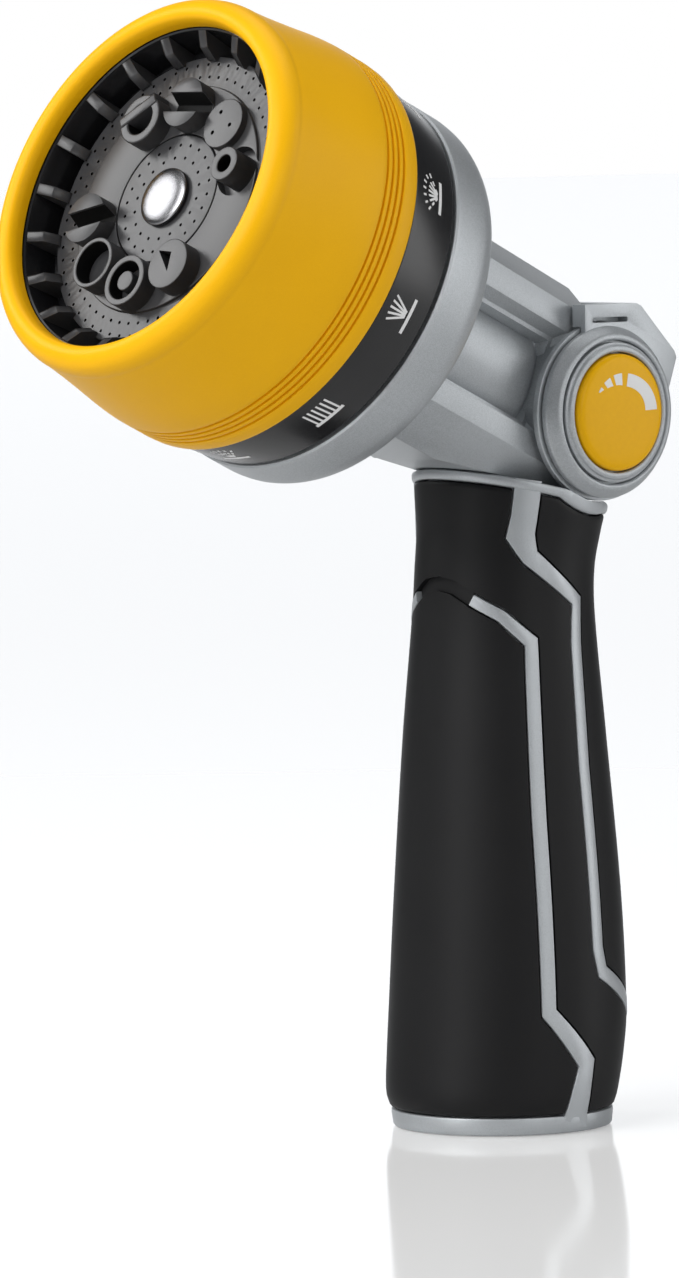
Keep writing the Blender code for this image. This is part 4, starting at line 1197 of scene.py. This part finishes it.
# --- the thumb valve ----------------------------------------------------------------------------
@dataclass
class ThumbValve:
    """The thumb lever with its trim rings and yellow caps."""

    places: Places
    disc_radius: float = 15.5
    disc_start: float = 17.0
    disc_front: float = 20.3
    roof_half: float = 18.2
    clear_radius: float = 16.3
    notch: Point = (14.9, 2.0)  # half the width of the neck's opening in the roof, and its depth
    cap_radius: float = 10.55
    cap_front: float = 22.0
    maker: Maker = field(init=False)

    def __post_init__(self) -> None:
        """Everything here rides on the lever."""
        self.maker = Maker("lever", self.places.hub, 28.0)

    def build(self) -> None:
        """Make the lever and both ends' covers."""
        self.lever()
        for side, sign in (("right", 1), ("left", -1)):
            self.trim(side, sign)
            self.cap(side, sign)

    @staticmethod
    def outwards(sign: int) -> Matrix:
        """Local +Z turned to point out of one side."""
        return Matrix.Diagonal((sign, 1, 1, 1)) @ Matrix.Rotation(pi / 2, 4, "Y")

    def roof(self) -> Shape:
        """The lever's flat roof and sloping thumb face, with a slot in each end.

        Returns:
            The shape.
        """
        outline = [(-5.4, 19.4), (7.4, 19.4), (8.6, 18.9), (16.9, 10.5), (17.4, 9.3), (15.2, 3.2)]
        outline += [(8, 3), (-5.4, 12)]
        upright = Matrix(((0, 0, 1, 0), (1, 0, 0, 0), (0, 1, 0, 0), (0, 0, 0, 1)))
        roof = moved(prism(outline, -self.roof_half, self.roof_half), upright)
        barrel = prism(circle(self.clear_radius, 120), -self.disc_start, self.disc_start)
        roof = combined(roof, moved(barrel, self.outwards(1)), Join.CUT)
        half, depth = self.notch
        roof = combined(roof, block((-half, -9, 8), (half, depth, 25)), Join.CUT)
        slot = eased([(-3.6, 16.1, 0.45), (5.2, 16.1, 0.45), (5.2, 17.05, 0.45), (-3.6, 17.05, 0.45)])
        for sign in (1, -1):
            ends = sorted((sign * 15.6, sign * 19.5))
            roof = combined(roof, moved(prism(slot, *ends), upright), Join.CUT)
        return softened(roof, 0.4, 30)

    def lever(self) -> Piece:
        """Yoke over the barrel: two discs under a roof.

        Returns:
            The piece.
        """
        start, front, rim = self.disc_start, self.disc_front, self.disc_radius
        corners = [(5.3, start, 0), (rim - 0.2, start, 0.3), (rim, start + 0.4, 0.2), (rim, start + 1.3, 0.3)]
        corners += [(14.0, front - 0.1, 0.45), (13.3, front, 0.2), (12.95, front - 0.3, 0.15)]
        corners += [(12.9, 18.9, 0), (5.3, 18.9, 0)]
        discs = [moved(turned(eased(corners)), self.outwards(sign)) for sign in (1, -1)]
        whole = merged(self.roof(), *discs)
        return self.maker.piece("thumb_yoke", whole, [SILVER_PAINT], "silver_paint", "thumb_lever")

    def trim(self, side: str, sign: int) -> Piece:
        """Stepped bright ring round one cap.

        Args:
            side: which end.
            sign: 1 for the right end, -1 for the left.

        Returns:
            The piece.
        """
        inner = self.cap_radius + GAP
        corners = [(inner, 19.2, 0), (12.6, 19.2, 0), (12.6, 20.35, 0.15), (12.1, 20.5, 0.15)]
        corners += [(11.95, 21.0, 0.2), (11.3, 21.15, 0.2), (inner, 20.95, 0.2)]
        ring = moved(turned(eased(corners)), self.outwards(sign))
        name, node = f"cap_surround_{side}", f"trim_ring_{side}"
        return self.maker.piece(name, ring, [SILVER_PAINT], "silver_paint", node)

    def cap(self, side: str, sign: int) -> Piece:
        """Domed yellow cap with a flow mark that grows towards the back.

        Args:
            side: which end.
            sign: 1 for the right end, -1 for the left.

        Returns:
            The cap.
        """
        rim, front = self.cap_radius, self.cap_front
        dome = [(rim, 20.7), (10.42, 21.25), (10.05, 21.62), (9.3, 21.85), (7.0, 22.0), (3.5, 22.1)]
        dome.append((0, 22.13))
        profile = [(9.3, 20.6), (9.3, 19.2), (rim, 19.2)] + flowing(dome) + [(0, 20.6)]
        shape = moved(turned(profile), self.outwards(sign))
        name, node = f"flow_button_{side}", f"flow_cap_{side}"
        cap = self.maker.piece(name, shape, [YELLOW_PLASTIC], "yellow_plastic", node)
        upright = Matrix(((0, 0, sign, 0), (1, 0, 0, 0), (0, 1, 0, 0), (0, 0, 0, 1)))
        mark = moved(merged(*[self.arc(front, *ends) for ends in self.arc_steps()]), upright)
        self.maker.piece(f"flow_mark_{side}", mark, [WHITE_INK], "yellow_plastic")
        return cap

    @staticmethod
    def arc_steps() -> list[tuple[Point, Point]]:
        """Each step of the flow mark: its ends in degrees, and its thickness there."""
        thin = [((147, 138), (0.25, 0.75)), ((130, 116), (1.2, 1.7))]
        return thin + [((108, 91), (1.85, 2.2)), ((78, 2), (2.35, 2.9))]

    @staticmethod
    def arc(front: float, turns: Point, widths: Point) -> Shape:
        """One step of the flow mark.

        Args:
            front: how far out the cap's face is.
            turns: where the step starts and ends, in degrees.
            widths: its thickness at both ends.

        Returns:
            The shape, lying flat.
        """
        steps = 18
        heights = (-0.3, 0.06, 0.13, -0.3)
        loops = []
        for step in range(steps + 1):
            share = step / steps
            turn = radians(turns[0] + (turns[1] - turns[0]) * share)
            reach = 7.05 + 1.5 * max(0.0, cos(turn)) ** 2
            width = widths[0] + (widths[1] - widths[0]) * share
            outer = (reach * cos(turn), reach * sin(turn))
            inner = ((reach - width) * cos(turn), (reach - width) * sin(turn))
            spots = zip((outer, outer, inner, inner), heights)
            loops.append([Vector((*spot, front + height)) for spot, height in spots])
        return skinned(loops)


# --- the handle ---------------------------------------------------------------------------------
@dataclass(frozen=True)
class GripSurface:
    """The outer surface of the grip: radius and set-back at a row of heights."""

    stations: Sequence[Corner] = (
        (0.0, 19.8, -0.3), (3.2, 20.2, -0.4), (6.0, 21.0, -0.4), (13.0, 21.5, 0.5), (20.5, 21.6, 1.2),
        (42.0, 20.6, 1.5), (71.0, 18.4, 1.2), (93.0, 16.5, 1.3), (101.0, 16.3, 1.7), (107.5, 16.7, 2.8),
        (112.0, 17.3, 3.4), (124.0, 18.0, 3.6),
    )  # fmt: skip
    top_height: float = 115.9
    top_slope: float = 13.5

    def at(self, height: float) -> Point:
        """Read the surface at a height.

        Args:
            height: the height over the foot.

        Returns:
            The radius and the set-back.
        """
        rows = self.stations
        index = min(max(sum(row[0] < height for row in rows), 1), len(rows) - 1)
        low, high = rows[index - 1], rows[index]
        span = high[0] - low[0]
        t = min(max((height - low[0]) / span, 0.0), 1.0)
        values = []
        for column in (1, 2):
            start, end = self._slope(index - 1, column) * span, self._slope(index, column) * span
            value = low[column] * (2 * t**3 - 3 * t**2 + 1) + high[column] * (3 * t**2 - 2 * t**3)
            values.append(value + start * (t**3 - 2 * t**2 + t) + end * (t**3 - t**2))
        return values[0], values[1]

    def _slope(self, index: int, column: int) -> float:
        """How fast a column changes with height at one station."""
        before = self.stations[max(index - 1, 0)]
        after = self.stations[min(index + 1, len(self.stations) - 1)]
        return (after[column] - before[column]) / (after[0] - before[0])

    def point(self, turn: float, height: float, lift: float) -> Vector:
        """A place on the surface or over it.

        Args:
            turn: the angle from the front, in radians.
            height: the height over the foot.
            lift: how far out of the surface it is.

        Returns:
            The place in the handle's frame.
        """
        radius, setback = self.at(height)
        reach = radius + lift
        return Vector((reach * sin(turn), setback - reach * cos(turn), height))

    def top(self, turn: float, drop: float = 0.0, lobe: Corner | None = None) -> float:
        """The height of the sloping top edge.

        Args:
            turn: the angle from the front, in radians.
            drop: how far under the edge.
            lobe: a round dip in the edge: how far back and how high its middle is, and its radius.

        Returns:
            The height.
        """
        height = self.top_height
        for _ in range(3):
            height = self.top_height - drop - tan(radians(self.top_slope)) * self.point(turn, height, 0).y
        if lobe:
            aside = lobe[2] ** 2 - (self.point(turn, height, 0).y - lobe[0]) ** 2
            height = min(height, lobe[1] - sqrt(aside)) if aside > 0 else height
        return height


@dataclass
class Handle:
    """The handle: rubber panels over a metal core whose stripes, lip and foot ring show."""

    places: Places
    surface: GripSurface = field(default_factory=GripSurface)
    skin: float = 2.0
    lip: float = 1.8
    foot: float = 3.2
    bore: float = 12.3
    socket: float = 17.0
    groove: float = 0.9
    barrel_space: float = 16.3
    lobe_radius: float = 18.5
    rear_stripe: Sequence[Corner] = (
        (57, 117.5, 5.0), (54, 107.4, 5.0), (62, 103.6, 3.1), (100, 95.4, 2.6), (97.5, 88.0, 2.8),
        (96, 66.0, 2.8), (97, 33.0, 2.8), (100, 28.6, 2.8), (140, 20.4, 2.8), (186, 17.5, 2.8),
    )  # fmt: skip
    front_stripe: Sequence[Corner] = (
        (26, 96.0, 2.2), (45, 93.2, 2.2), (64, 88.4, 2.6), (64.5, 57.0, 2.8), (67, 22.0, 2.8),
        (90, 12.6, 3.6), (88.5, 1.5, 6.0),
    )  # fmt: skip
    front_groove: Sequence[Corner] = (
        (-26, 96, 2.6), (-12, 98.2, 2.6), (0, 98.8, 2.6), (12, 98.2, 2.6), (26, 96, 2.6),
    )  # fmt: skip
    columns: int = 192
    maker: Maker = field(init=False)

    def __post_init__(self) -> None:
        """Everything here rides on the body."""
        self.maker = Maker("body", self.places.handle, 30.0)

    def build(self) -> None:
        """Make the metal core and the rubber panels."""
        self.core()
        self.panels()

    def turns(self) -> list[float]:
        """The angle of each column round the grip."""
        return [2 * pi * column / self.columns for column in range(self.columns)]

    def ring(self, height: float, inset: float) -> list[Vector]:
        """A level loop round the grip.

        Args:
            height: its height.
            inset: how far inside the surface it is.

        Returns:
            The loop's points.
        """
        return [self.surface.point(turn, height, -inset) for turn in self.turns()]

    def bore_ring(self, height: float, radius: float) -> list[Vector]:
        """A level loop round the handle's own axis.

        Args:
            height: its height.
            radius: its radius.

        Returns:
            The loop's points.
        """
        return [Vector((radius * sin(turn), -radius * cos(turn), height)) for turn in self.turns()]

    def sloping(self, drop: float, inset: float) -> list[Vector]:
        """A loop under the sloping top edge.

        Args:
            drop: how far under the edge.
            inset: how far inside the surface.

        Returns:
            The loop's points.
        """
        lobe = (*self.hub_spot(), self.lobe_radius + drop - self.lip) if drop > self.lip - 1 else None
        return [self.surface.point(turn, self.surface.top(turn, drop, lobe), -inset) for turn in self.turns()]

    def hub_spot(self) -> Point:
        """How far back and how high the hub is from the handle's foot."""
        hub = self.places.handle.inverted() @ self.places.hub.translation
        return hub.y, hub.z

    def lip_shape(self) -> Shape:
        """The metal lip on top, hollowed where the cross barrel sits.

        Returns:
            The shape.
        """
        lip = self.lip
        edge = [(lip, self.skin + 0.4), (lip, 0.15), (lip - 0.2, -0.15), (lip - 0.5, -GAP), (0.5, -GAP)]
        edge += [(0.15, -0.15), (0.0, 0.2), (0.0, 1.2)]
        loops = [self.sloping(drop, inset) for drop, inset in edge]
        inner = [Vector((self.bore * sin(turn), -self.bore * cos(turn), 0)) for turn in self.turns()]
        for level in (0.0, self.lip + 2.0):
            rise = tan(radians(self.surface.top_slope))
            loops.append([Vector((p.x, p.y, self.surface.top_height - level - rise * p.y)) for p in inner])
        for loop in loops:
            for spot in loop:
                spot.z = min(spot.z, self.under_barrel(spot))
        return skinned(loops, closed=True)

    def under_barrel(self, spot: Vector) -> float:
        """The highest that metal may come under the cross barrel.

        Args:
            spot: the place.

        Returns:
            The height.
        """
        back, height = self.hub_spot()
        aside = self.barrel_space**2 - (spot.y - back) ** 2
        return height - sqrt(aside) if aside > 0 else 999.0

    def band(self, path: Sequence[Corner], extra: float, side: int, section: Sequence[Point]) -> Shape:
        """A band laid along a path on the grip.

        Args:
            path: angle from the front in degrees, height and width along it.
            extra: how much wider it is on each side.
            side: 1 for the right side, -1 for the left.
            section: its cross-section, as shares of half the width less an offset, and heights.

        Returns:
            The closed shape.
        """
        spots = self.along(path)
        flat = [Vector((side * radians(angle) * self.surface.at(z)[0], z)) for angle, z, _ in spots]
        loops = []
        for index, (spot, (_, height, width)) in enumerate(zip(flat, spots)):
            before = (spot - flat[index - 1]).normalized() if index else (flat[1] - spot).normalized()
            last = index == len(flat) - 1
            after = before if last else (flat[index + 1] - spot).normalized()
            bisector = (before + after).normalized()
            across = Vector((-bisector.y, bisector.x))
            half = (width / 2 + extra) / max(0.6, Vector((-before.y, before.x)).dot(across))
            push = bisector * extra * (int(last) - int(index == 0))
            radius = self.surface.at(height)[0]
            loop = []
            for share, lift in section:
                edge = copysign(half, share) + share - copysign(1, share)
                place = spot + across * edge + push
                loop.append(self.surface.point(place.x / radius, place.y, lift))
            loops.append(loop)
        return skinned(loops)

    @staticmethod
    def along(path: Sequence[Corner]) -> list[Corner]:
        """Add stations to a path, so that it follows the round grip.

        Args:
            path: the path's corners.

        Returns:
            The corners with others between them.
        """
        fine = []
        for start, end in zip(path, path[1:]):
            steps = max(1, round(max(abs(end[0] - start[0]) / 4, abs(end[1] - start[1]) / 3)))
            for step in range(steps):
                fine.append(tuple(a + (b - a) * step / steps for a, b in zip(start, end)))
        return fine + [tuple(path[-1])]

    def cutter(self, path: Sequence[Corner], side: int) -> Shape:
        """What one stripe takes out of the rubber."""
        deep, over = -self.skin - 1.5, 1.5
        return self.band(path, GAP, side, ((1, deep), (1, over), (-1, over), (-1, deep)))

    def stripe(self, path: Sequence[Corner], side: int) -> Shape:
        """One metal stripe with rounded edges, a little proud of the rubber."""
        deep, top = -self.skin - 0.5, 0.12
        section = ((1, deep), (1, top - 0.3), (0.9, top - 0.08), (0.7, top), (-0.7, top), (-0.9, top - 0.08))
        return self.band(path, 0.0, side, (*section, (-1, top - 0.3), (-1, deep)))

    def core(self) -> Piece:
        """Metal core with its lip, stripes and foot ring.

        Returns:
            The piece.
        """
        foot, socket = self.foot, self.socket
        edge = [(0.0, 0.6), (0.12, 0.2), (0.45, 0.0), (foot - 0.45, 0.0), (foot - 0.12, 0.15), (foot, 0.5)]
        edge.append((foot, self.skin + 0.2))
        outside = [self.ring(height, inset) for height, inset in edge]
        ring = skinned([self.bore_ring(0.0, socket), *outside, self.bore_ring(foot, socket)], closed=True)
        inset = self.skin + 0.15
        walls = [self.ring(2 + 8 * step, inset) for step in range(14)] + [self.sloping(1.0, inset + 0.3)]
        walls += [self.bore_ring(110, self.bore), self.bore_ring(23, self.bore), self.bore_ring(20, socket)]
        walls += [self.bore_ring(2, socket)]
        paths = (self.rear_stripe, self.front_stripe)
        stripes = [self.stripe(path, side) for path in paths for side in (1, -1)]
        whole = merged(ring, skinned(walls, closed=True), self.lip_shape(), *stripes)
        return self.maker.piece("handle_metal", whole, [SILVER_PAINT], "silver_paint", "handle_core")

    def rubber(self) -> Shape:
        """The whole rubber cover before the stripes are let into it.

        Returns:
            The closed shape.
        """
        rows = 96
        low, drop = self.foot + GAP, self.lip + GAP
        edge = ((0.0, 1.3), (0.0, 0.5), (0.12, 0.2), (0.42, 0.03))
        lobe = (*self.hub_spot(), self.lobe_radius + GAP + 0.9)
        loops = [self.ring(low + rise, inset) for rise, inset in edge]
        for row in range(rows + 1):
            share = row / rows
            loop = []
            for turn in self.turns():
                top = self.surface.top(turn, drop + 0.9, lobe)
                loop.append(self.surface.point(turn, low + 0.9 + (top - low - 0.9) * share, 0))
            loops.append(loop)
        loops += [self.sloping(drop + fall, inset) for fall, inset in reversed(edge)]
        inner = [self.sloping(drop, self.skin)]
        inner += [self.ring(low + (112 - low) * share / 16, self.skin) for share in range(15, 0, -1)]
        return skinned(loops + inner + [self.ring(low, self.skin)], closed=True)

    def panels(self) -> None:
        """Cut the rubber along the stripes and make the two panels."""
        rear = combined(self.cutter(self.rear_stripe, 1), self.cutter(self.rear_stripe, -1), Join.ADD)
        fronts = [self.cutter(self.front_stripe, side) for side in (1, -1)]
        cover = combined(self.rubber(), merged(rear, *fronts), Join.CUT)
        section = ((1, -self.groove), (1, 1.5), (-1, 1.5), (-1, -self.groove))
        cover = combined(cover, self.band(self.front_groove, 0.0, 1, section), Join.CUT)
        bmesh.ops.remove_doubles(cover, verts=cover.verts, dist=0.002)
        panel = self.island(cover, max(cover.verts, key=lambda vert: vert.co.y - abs(vert.co.z - 60)))
        other = cover.copy()
        indices = {vert.index for vert in panel}
        for shape, keep in ((cover, False), (other, True)):
            shape.verts.ensure_lookup_table()
            gone = [vert for vert in shape.verts if (vert.index in indices) != keep]
            bmesh.ops.delete(shape, geom=gone, context="VERTS")
        self.maker.piece("front_rubber", cover, [BLACK_RUBBER], "grip_rubber", "grip_front")
        self.maker.piece("rear_rubber", other, [BLACK_RUBBER], "grip_rubber", "grip_rear")

    @staticmethod
    def island(shape: Shape, start: bmesh.types.BMVert) -> list[bmesh.types.BMVert]:
        """Every vertex joined to one.

        Args:
            shape: the shape, whose vertices are numbered.
            start: where to begin.

        Returns:
            The vertices.
        """
        shape.verts.index_update()
        seen, queue = {start}, [start]
        while queue:
            vert = queue.pop()
            for edge in vert.link_edges:
                other = edge.other_vert(vert)
                if other not in seen:
                    seen.add(other)
                    queue.append(other)
        return list(seen)


@dataclass
class HoseCoupling:
    """The brass socket in the foot, with its thread, washer and strainer."""

    places: Places
    radius: float = 16.7
    thread_radius: float = 13.6
    depth: float = 19.0
    pitch: float = 2.2
    ridge: float = 1.0
    maker: Maker = field(init=False)

    def __post_init__(self) -> None:
        """Everything here rides on the body."""
        self.maker = Maker("body", self.places.handle)

    def build(self) -> None:
        """Make the socket, the washer and the strainer."""
        self.brass_socket()
        self.washer()
        self.strainer()

    def thread(self) -> Shape:
        """One long helical ridge that fades out at both ends.

        Returns:
            The shape.
        """
        turns, per_turn = 4.2, 72
        count = int(turns * per_turn)
        loops = []
        for step in range(count + 1):
            turn = 2 * pi * step / per_turn
            height = 2.6 + self.pitch * step / per_turn
            fade = min(1.0, step / 30, (count - step) / 30)
            tip = self.thread_radius - self.ridge * max(fade, 0.05)
            base = self.thread_radius + 0.15
            section = ((base, -0.85), (tip, -0.18), (tip, 0.18), (base, 0.85))
            loops.append([Vector((r * cos(turn), r * sin(turn), height + rise)) for r, rise in section])
        return skinned(loops)

    def brass_socket(self) -> Piece:
        """Threaded socket for the hose.

        Returns:
            The piece.
        """
        top, bore = self.depth, self.thread_radius
        corners = [(bore + 0.8, 0.6, 0.2), (self.radius, 0.6, 0.4), (self.radius, top, 0.4)]
        corners += [(11.6, top + 3, 0), (11.6, top + 10, 0), (8.3, top + 10, 0), (8.3, top + 3, 0)]
        corners += [(6.0, top + 3, 0), (6.0, top - 2, 0.4), (bore, top - 2, 0), (bore, 1.5, 0)]
        whole = merged(turned(eased(corners)), self.thread())
        return self.maker.piece("hose_thread", whole, [BRASS], "brass_fittings", "inlet_socket")

    def washer(self) -> Piece:
        """Rubber washer at the bottom of the thread.

        Returns:
            The piece.
        """
        low = self.depth - 6.2
        outer = self.thread_radius - GAP
        corners = [(8.0, low, 0.5), (outer, low, 0.5), (outer, low + 2.4, 0.3), (8.0, low + 2.4, 0.3)]
        shape = turned(eased(corners))
        return self.maker.piece("hose_seal", shape, [SEAL_RUBBER], "seal_rubber", "hose_washer")

    def strainer(self) -> Piece:
        """Domed strainer with rings of holes.

        Returns:
            The piece.
        """
        low = self.depth - 3.5
        rim = self.thread_radius - GAP
        under = flowing([(0, low - 3.0), (3.0, low - 2.75), (5.6, low - 1.75), (7.5, low)])
        over = flowing([(7.5, low + 1.0), (5.6, low - 0.75), (3.0, low - 1.75), (0, low - 2.0)])
        disc = turned(under + [(rim, low), (rim, low + 1.0)] + over, 120)
        spots = [(0.0, 0.0)]
        for ring in range(1, 4):
            spots += circle(1.75 * ring, 6 * ring, 10 * ring)
        disc = combined(disc, rods(spots, 0.52, low - 6, low + 3, 12), Join.CUT)
        return self.maker.piece("strainer", disc, [STEEL], "steel_hardware", "filter_screen")


# --- inside -------------------------------------------------------------------------------------
@dataclass
class InnerWorks:
    """The CAD nodes that keep their own shape, and get a finish."""

    nodes: dict[str, Piece]
    finishes: dict[str, Finish] = field(
        default_factory=lambda: {
            "gloss_black": GLOSS_BLACK,
            "face_grey": FACE_GREY,
            "brass_fittings": BRASS,
            "steel_hardware": STEEL,
            "pale_acetal": ACETAL,
            "seal_rubber": SEAL_RUBBER,
            "silver_paint": SILVER_PAINT,
            "grip_rubber": BLACK_RUBBER,
            "yellow_rubber": YELLOW_RUBBER,
            "yellow_plastic": YELLOW_PLASTIC,
            "chrome_cap": DOME_CHROME,
        }
    )

    def dress(self, parts: Sequence[dict]) -> None:
        """Give every node the finish of its material slot.

        Args:
            parts: the record's nodes, each with its slot.
        """
        for part in parts:
            node = self.nodes[part["node"]]
            finish = self.finishes[part["material_slot"]].material()
            node.data.materials.clear()
            node.data.materials.append(finish)
            if not node.hide_render:
                log.info("%s: kept from the CAD, %s", part["node"], finish.name)


# --- studio -------------------------------------------------------------------------------------
@dataclass
class Studio:
    """Pale floor, soft lights and the camera."""

    target: Vector = field(default_factory=lambda: Vector((0, -0.00325, 0.09011)))
    distance: float = 1.55557
    azimuth: float = 47.73
    elevation: float = 3.8
    roll: float = -0.71
    lens: float = 246.4
    sensor: float = 36.0
    floor_half: float = 9.0
    floor_drop: float = 0.0002  # keeps the floor clear of the foot's underside
    floor_tone: float = 0.93
    floor_roughness: float = 0.1
    floor_share: float = 0.68  # the rest shows the white surroundings
    glow_edges: Point = (0.86, 0.97)  # how squarely a direction faces away from the camera
    room_light: Point = (0.1, 1.3)  # the room's light there and beyond

    def axes(self) -> Matrix:
        """The camera's right, up and backward directions, without its roll."""
        turn, rise = radians(self.azimuth), radians(self.elevation)
        back = Vector((sin(turn) * cos(rise), -cos(turn) * cos(rise), sin(rise)))
        right = Vector((cos(turn), sin(turn), 0))
        return Matrix((right, back.cross(right), back)).transposed()

    def build(self) -> None:
        """Make the camera, the floor, the surroundings and the lights."""
        self.camera()
        self.floor()
        self.surroundings()
        self.lamp("key", (-0.75, 0.75, 0.75), (1.0, 0.8), 14.0)
        self.lamp("strip", (-0.95, 0.05, 0.78), (0.3, 1.2), 3.6)
        self.lamp("left", (-1.05, 0.62, -0.22), (0.5, 0.5), 4.0)
        self.lamp("top", (0.15, 1.2, -0.25), (1.1, 0.8), 4.0)
        self.lamp("right", (1.15, 0.25, 0.05), (0.6, 1.0), 4.0)
        self.lamp("front", (0.75, 0.3, 0.95), (0.7, 0.7), 3.0)
        bpy.context.scene.view_settings.view_transform = "Standard"

    def camera(self) -> None:
        """Stand the camera where it sees the nozzle's right front."""
        axes = self.axes()
        roll = radians(self.roll)
        right, up, back = axes.col[0], axes.col[1], axes.col[2]
        across = right * cos(roll) + up * sin(roll)
        upward = up * cos(roll) - right * sin(roll)
        data = bpy.data.cameras.new("camera")
        data.lens = self.lens
        data.sensor_width = self.sensor
        made = bpy.data.objects.new("camera", data)
        turn = Matrix((across, upward, back)).transposed().to_4x4()
        made.matrix_world = Matrix.Translation(self.target + back * self.distance) @ turn
        bpy.context.scene.collection.objects.link(made)
        bpy.context.scene.camera = made

    def lamp(self, name: str, spot: Corner, size: Point, power: float) -> None:
        """Hang a soft light and aim it at the nozzle.

        Args:
            name: the light's name.
            spot: its place from the nozzle: right, up and towards the camera, in metres.
            size: its width and height.
            power: its power in watts.
        """
        data = bpy.data.lights.new(name, "AREA")
        data.shape = "RECTANGLE"
        data.size, data.size_y = size
        data.energy = power
        made = bpy.data.objects.new(name, data)
        away = self.axes() @ Vector(spot)
        made.location = self.target + away
        made.rotation_euler = (-away).to_track_quat("-Z", "Y").to_euler()
        bpy.context.scene.collection.objects.link(made)

    def floor(self) -> None:
        """Lay the pale floor, which mirrors the foot softly."""
        half = self.floor_half
        mesh = bpy.data.meshes.new("floor")
        corners = [(-half, -half, 0), (half, -half, 0), (half, half, 0), (-half, half, 0)]
        mesh.from_pydata(corners, [], [(0, 1, 2, 3)])
        made = bpy.data.objects.new("floor", mesh)
        made.location.z = -self.floor_drop
        material = bpy.data.materials.new("pale_floor")
        material.use_nodes = True
        shader = material.node_tree.nodes["Principled BSDF"]
        shader.inputs["Base Color"].default_value = (*[self.floor_tone] * 3, 1)
        shader.inputs["Roughness"].default_value = self.floor_roughness
        shader.inputs["Alpha"].default_value = self.floor_share
        mesh.materials.append(material)
        bpy.context.scene.collection.objects.link(made)

    def surroundings(self) -> None:
        """Surround the scene with white for the camera, and with a dim room for everything else."""
        world = bpy.data.worlds.new("surroundings")
        world.use_nodes = True
        tree = world.node_tree
        shown = tree.nodes["Background"]
        shown.inputs["Color"].default_value = (1, 1, 1, 1)
        shown.inputs["Strength"].default_value = 1.0
        lit = tree.nodes.new("ShaderNodeBackground")
        lit.inputs["Color"].default_value = (0.95, 0.97, 1, 1)
        behind = tree.nodes.new("ShaderNodeVectorMath")
        behind.operation = "DOT_PRODUCT"
        behind.inputs[1].default_value = -self.axes().col[2]
        glow = tree.nodes.new("ShaderNodeMapRange")
        glow.inputs["From Min"].default_value, glow.inputs["From Max"].default_value = self.glow_edges
        glow.inputs["To Min"].default_value, glow.inputs["To Max"].default_value = self.room_light
        mix = tree.nodes.new("ShaderNodeMixShader")
        path = tree.nodes.new("ShaderNodeLightPath")
        where = tree.nodes.new("ShaderNodeTexCoord")
        tree.links.new(where.outputs["Generated"], behind.inputs[0])
        tree.links.new(behind.outputs["Value"], glow.inputs["Value"])
        tree.links.new(glow.outputs["Result"], lit.inputs["Strength"])
        tree.links.new(path.outputs["Is Camera Ray"], mix.inputs["Fac"])
        tree.links.new(lit.outputs["Background"], mix.inputs[1])
        tree.links.new(shown.outputs["Background"], mix.inputs[2])
        tree.links.new(mix.outputs["Shader"], tree.nodes["World Output"].inputs["Surface"])
        bpy.context.scene.world = world


def main() -> None:
    """Build the studio, then the nozzle from the foot up, then dress what stays from the CAD."""
    logging.basicConfig(level=logging.INFO, format="%(message)s")
    places = Places.read(frame["joints"])
    Studio().build()
    for kind in (HoseCoupling, Handle, FixedHead, ThumbValve, SprayDial):
        log.info("building %s", kind.__name__)
        kind(places).build()
    InnerWorks(frame["nodes"]).dress(frame["record"]["subparts"])


if __name__ == "__main__":
    main()
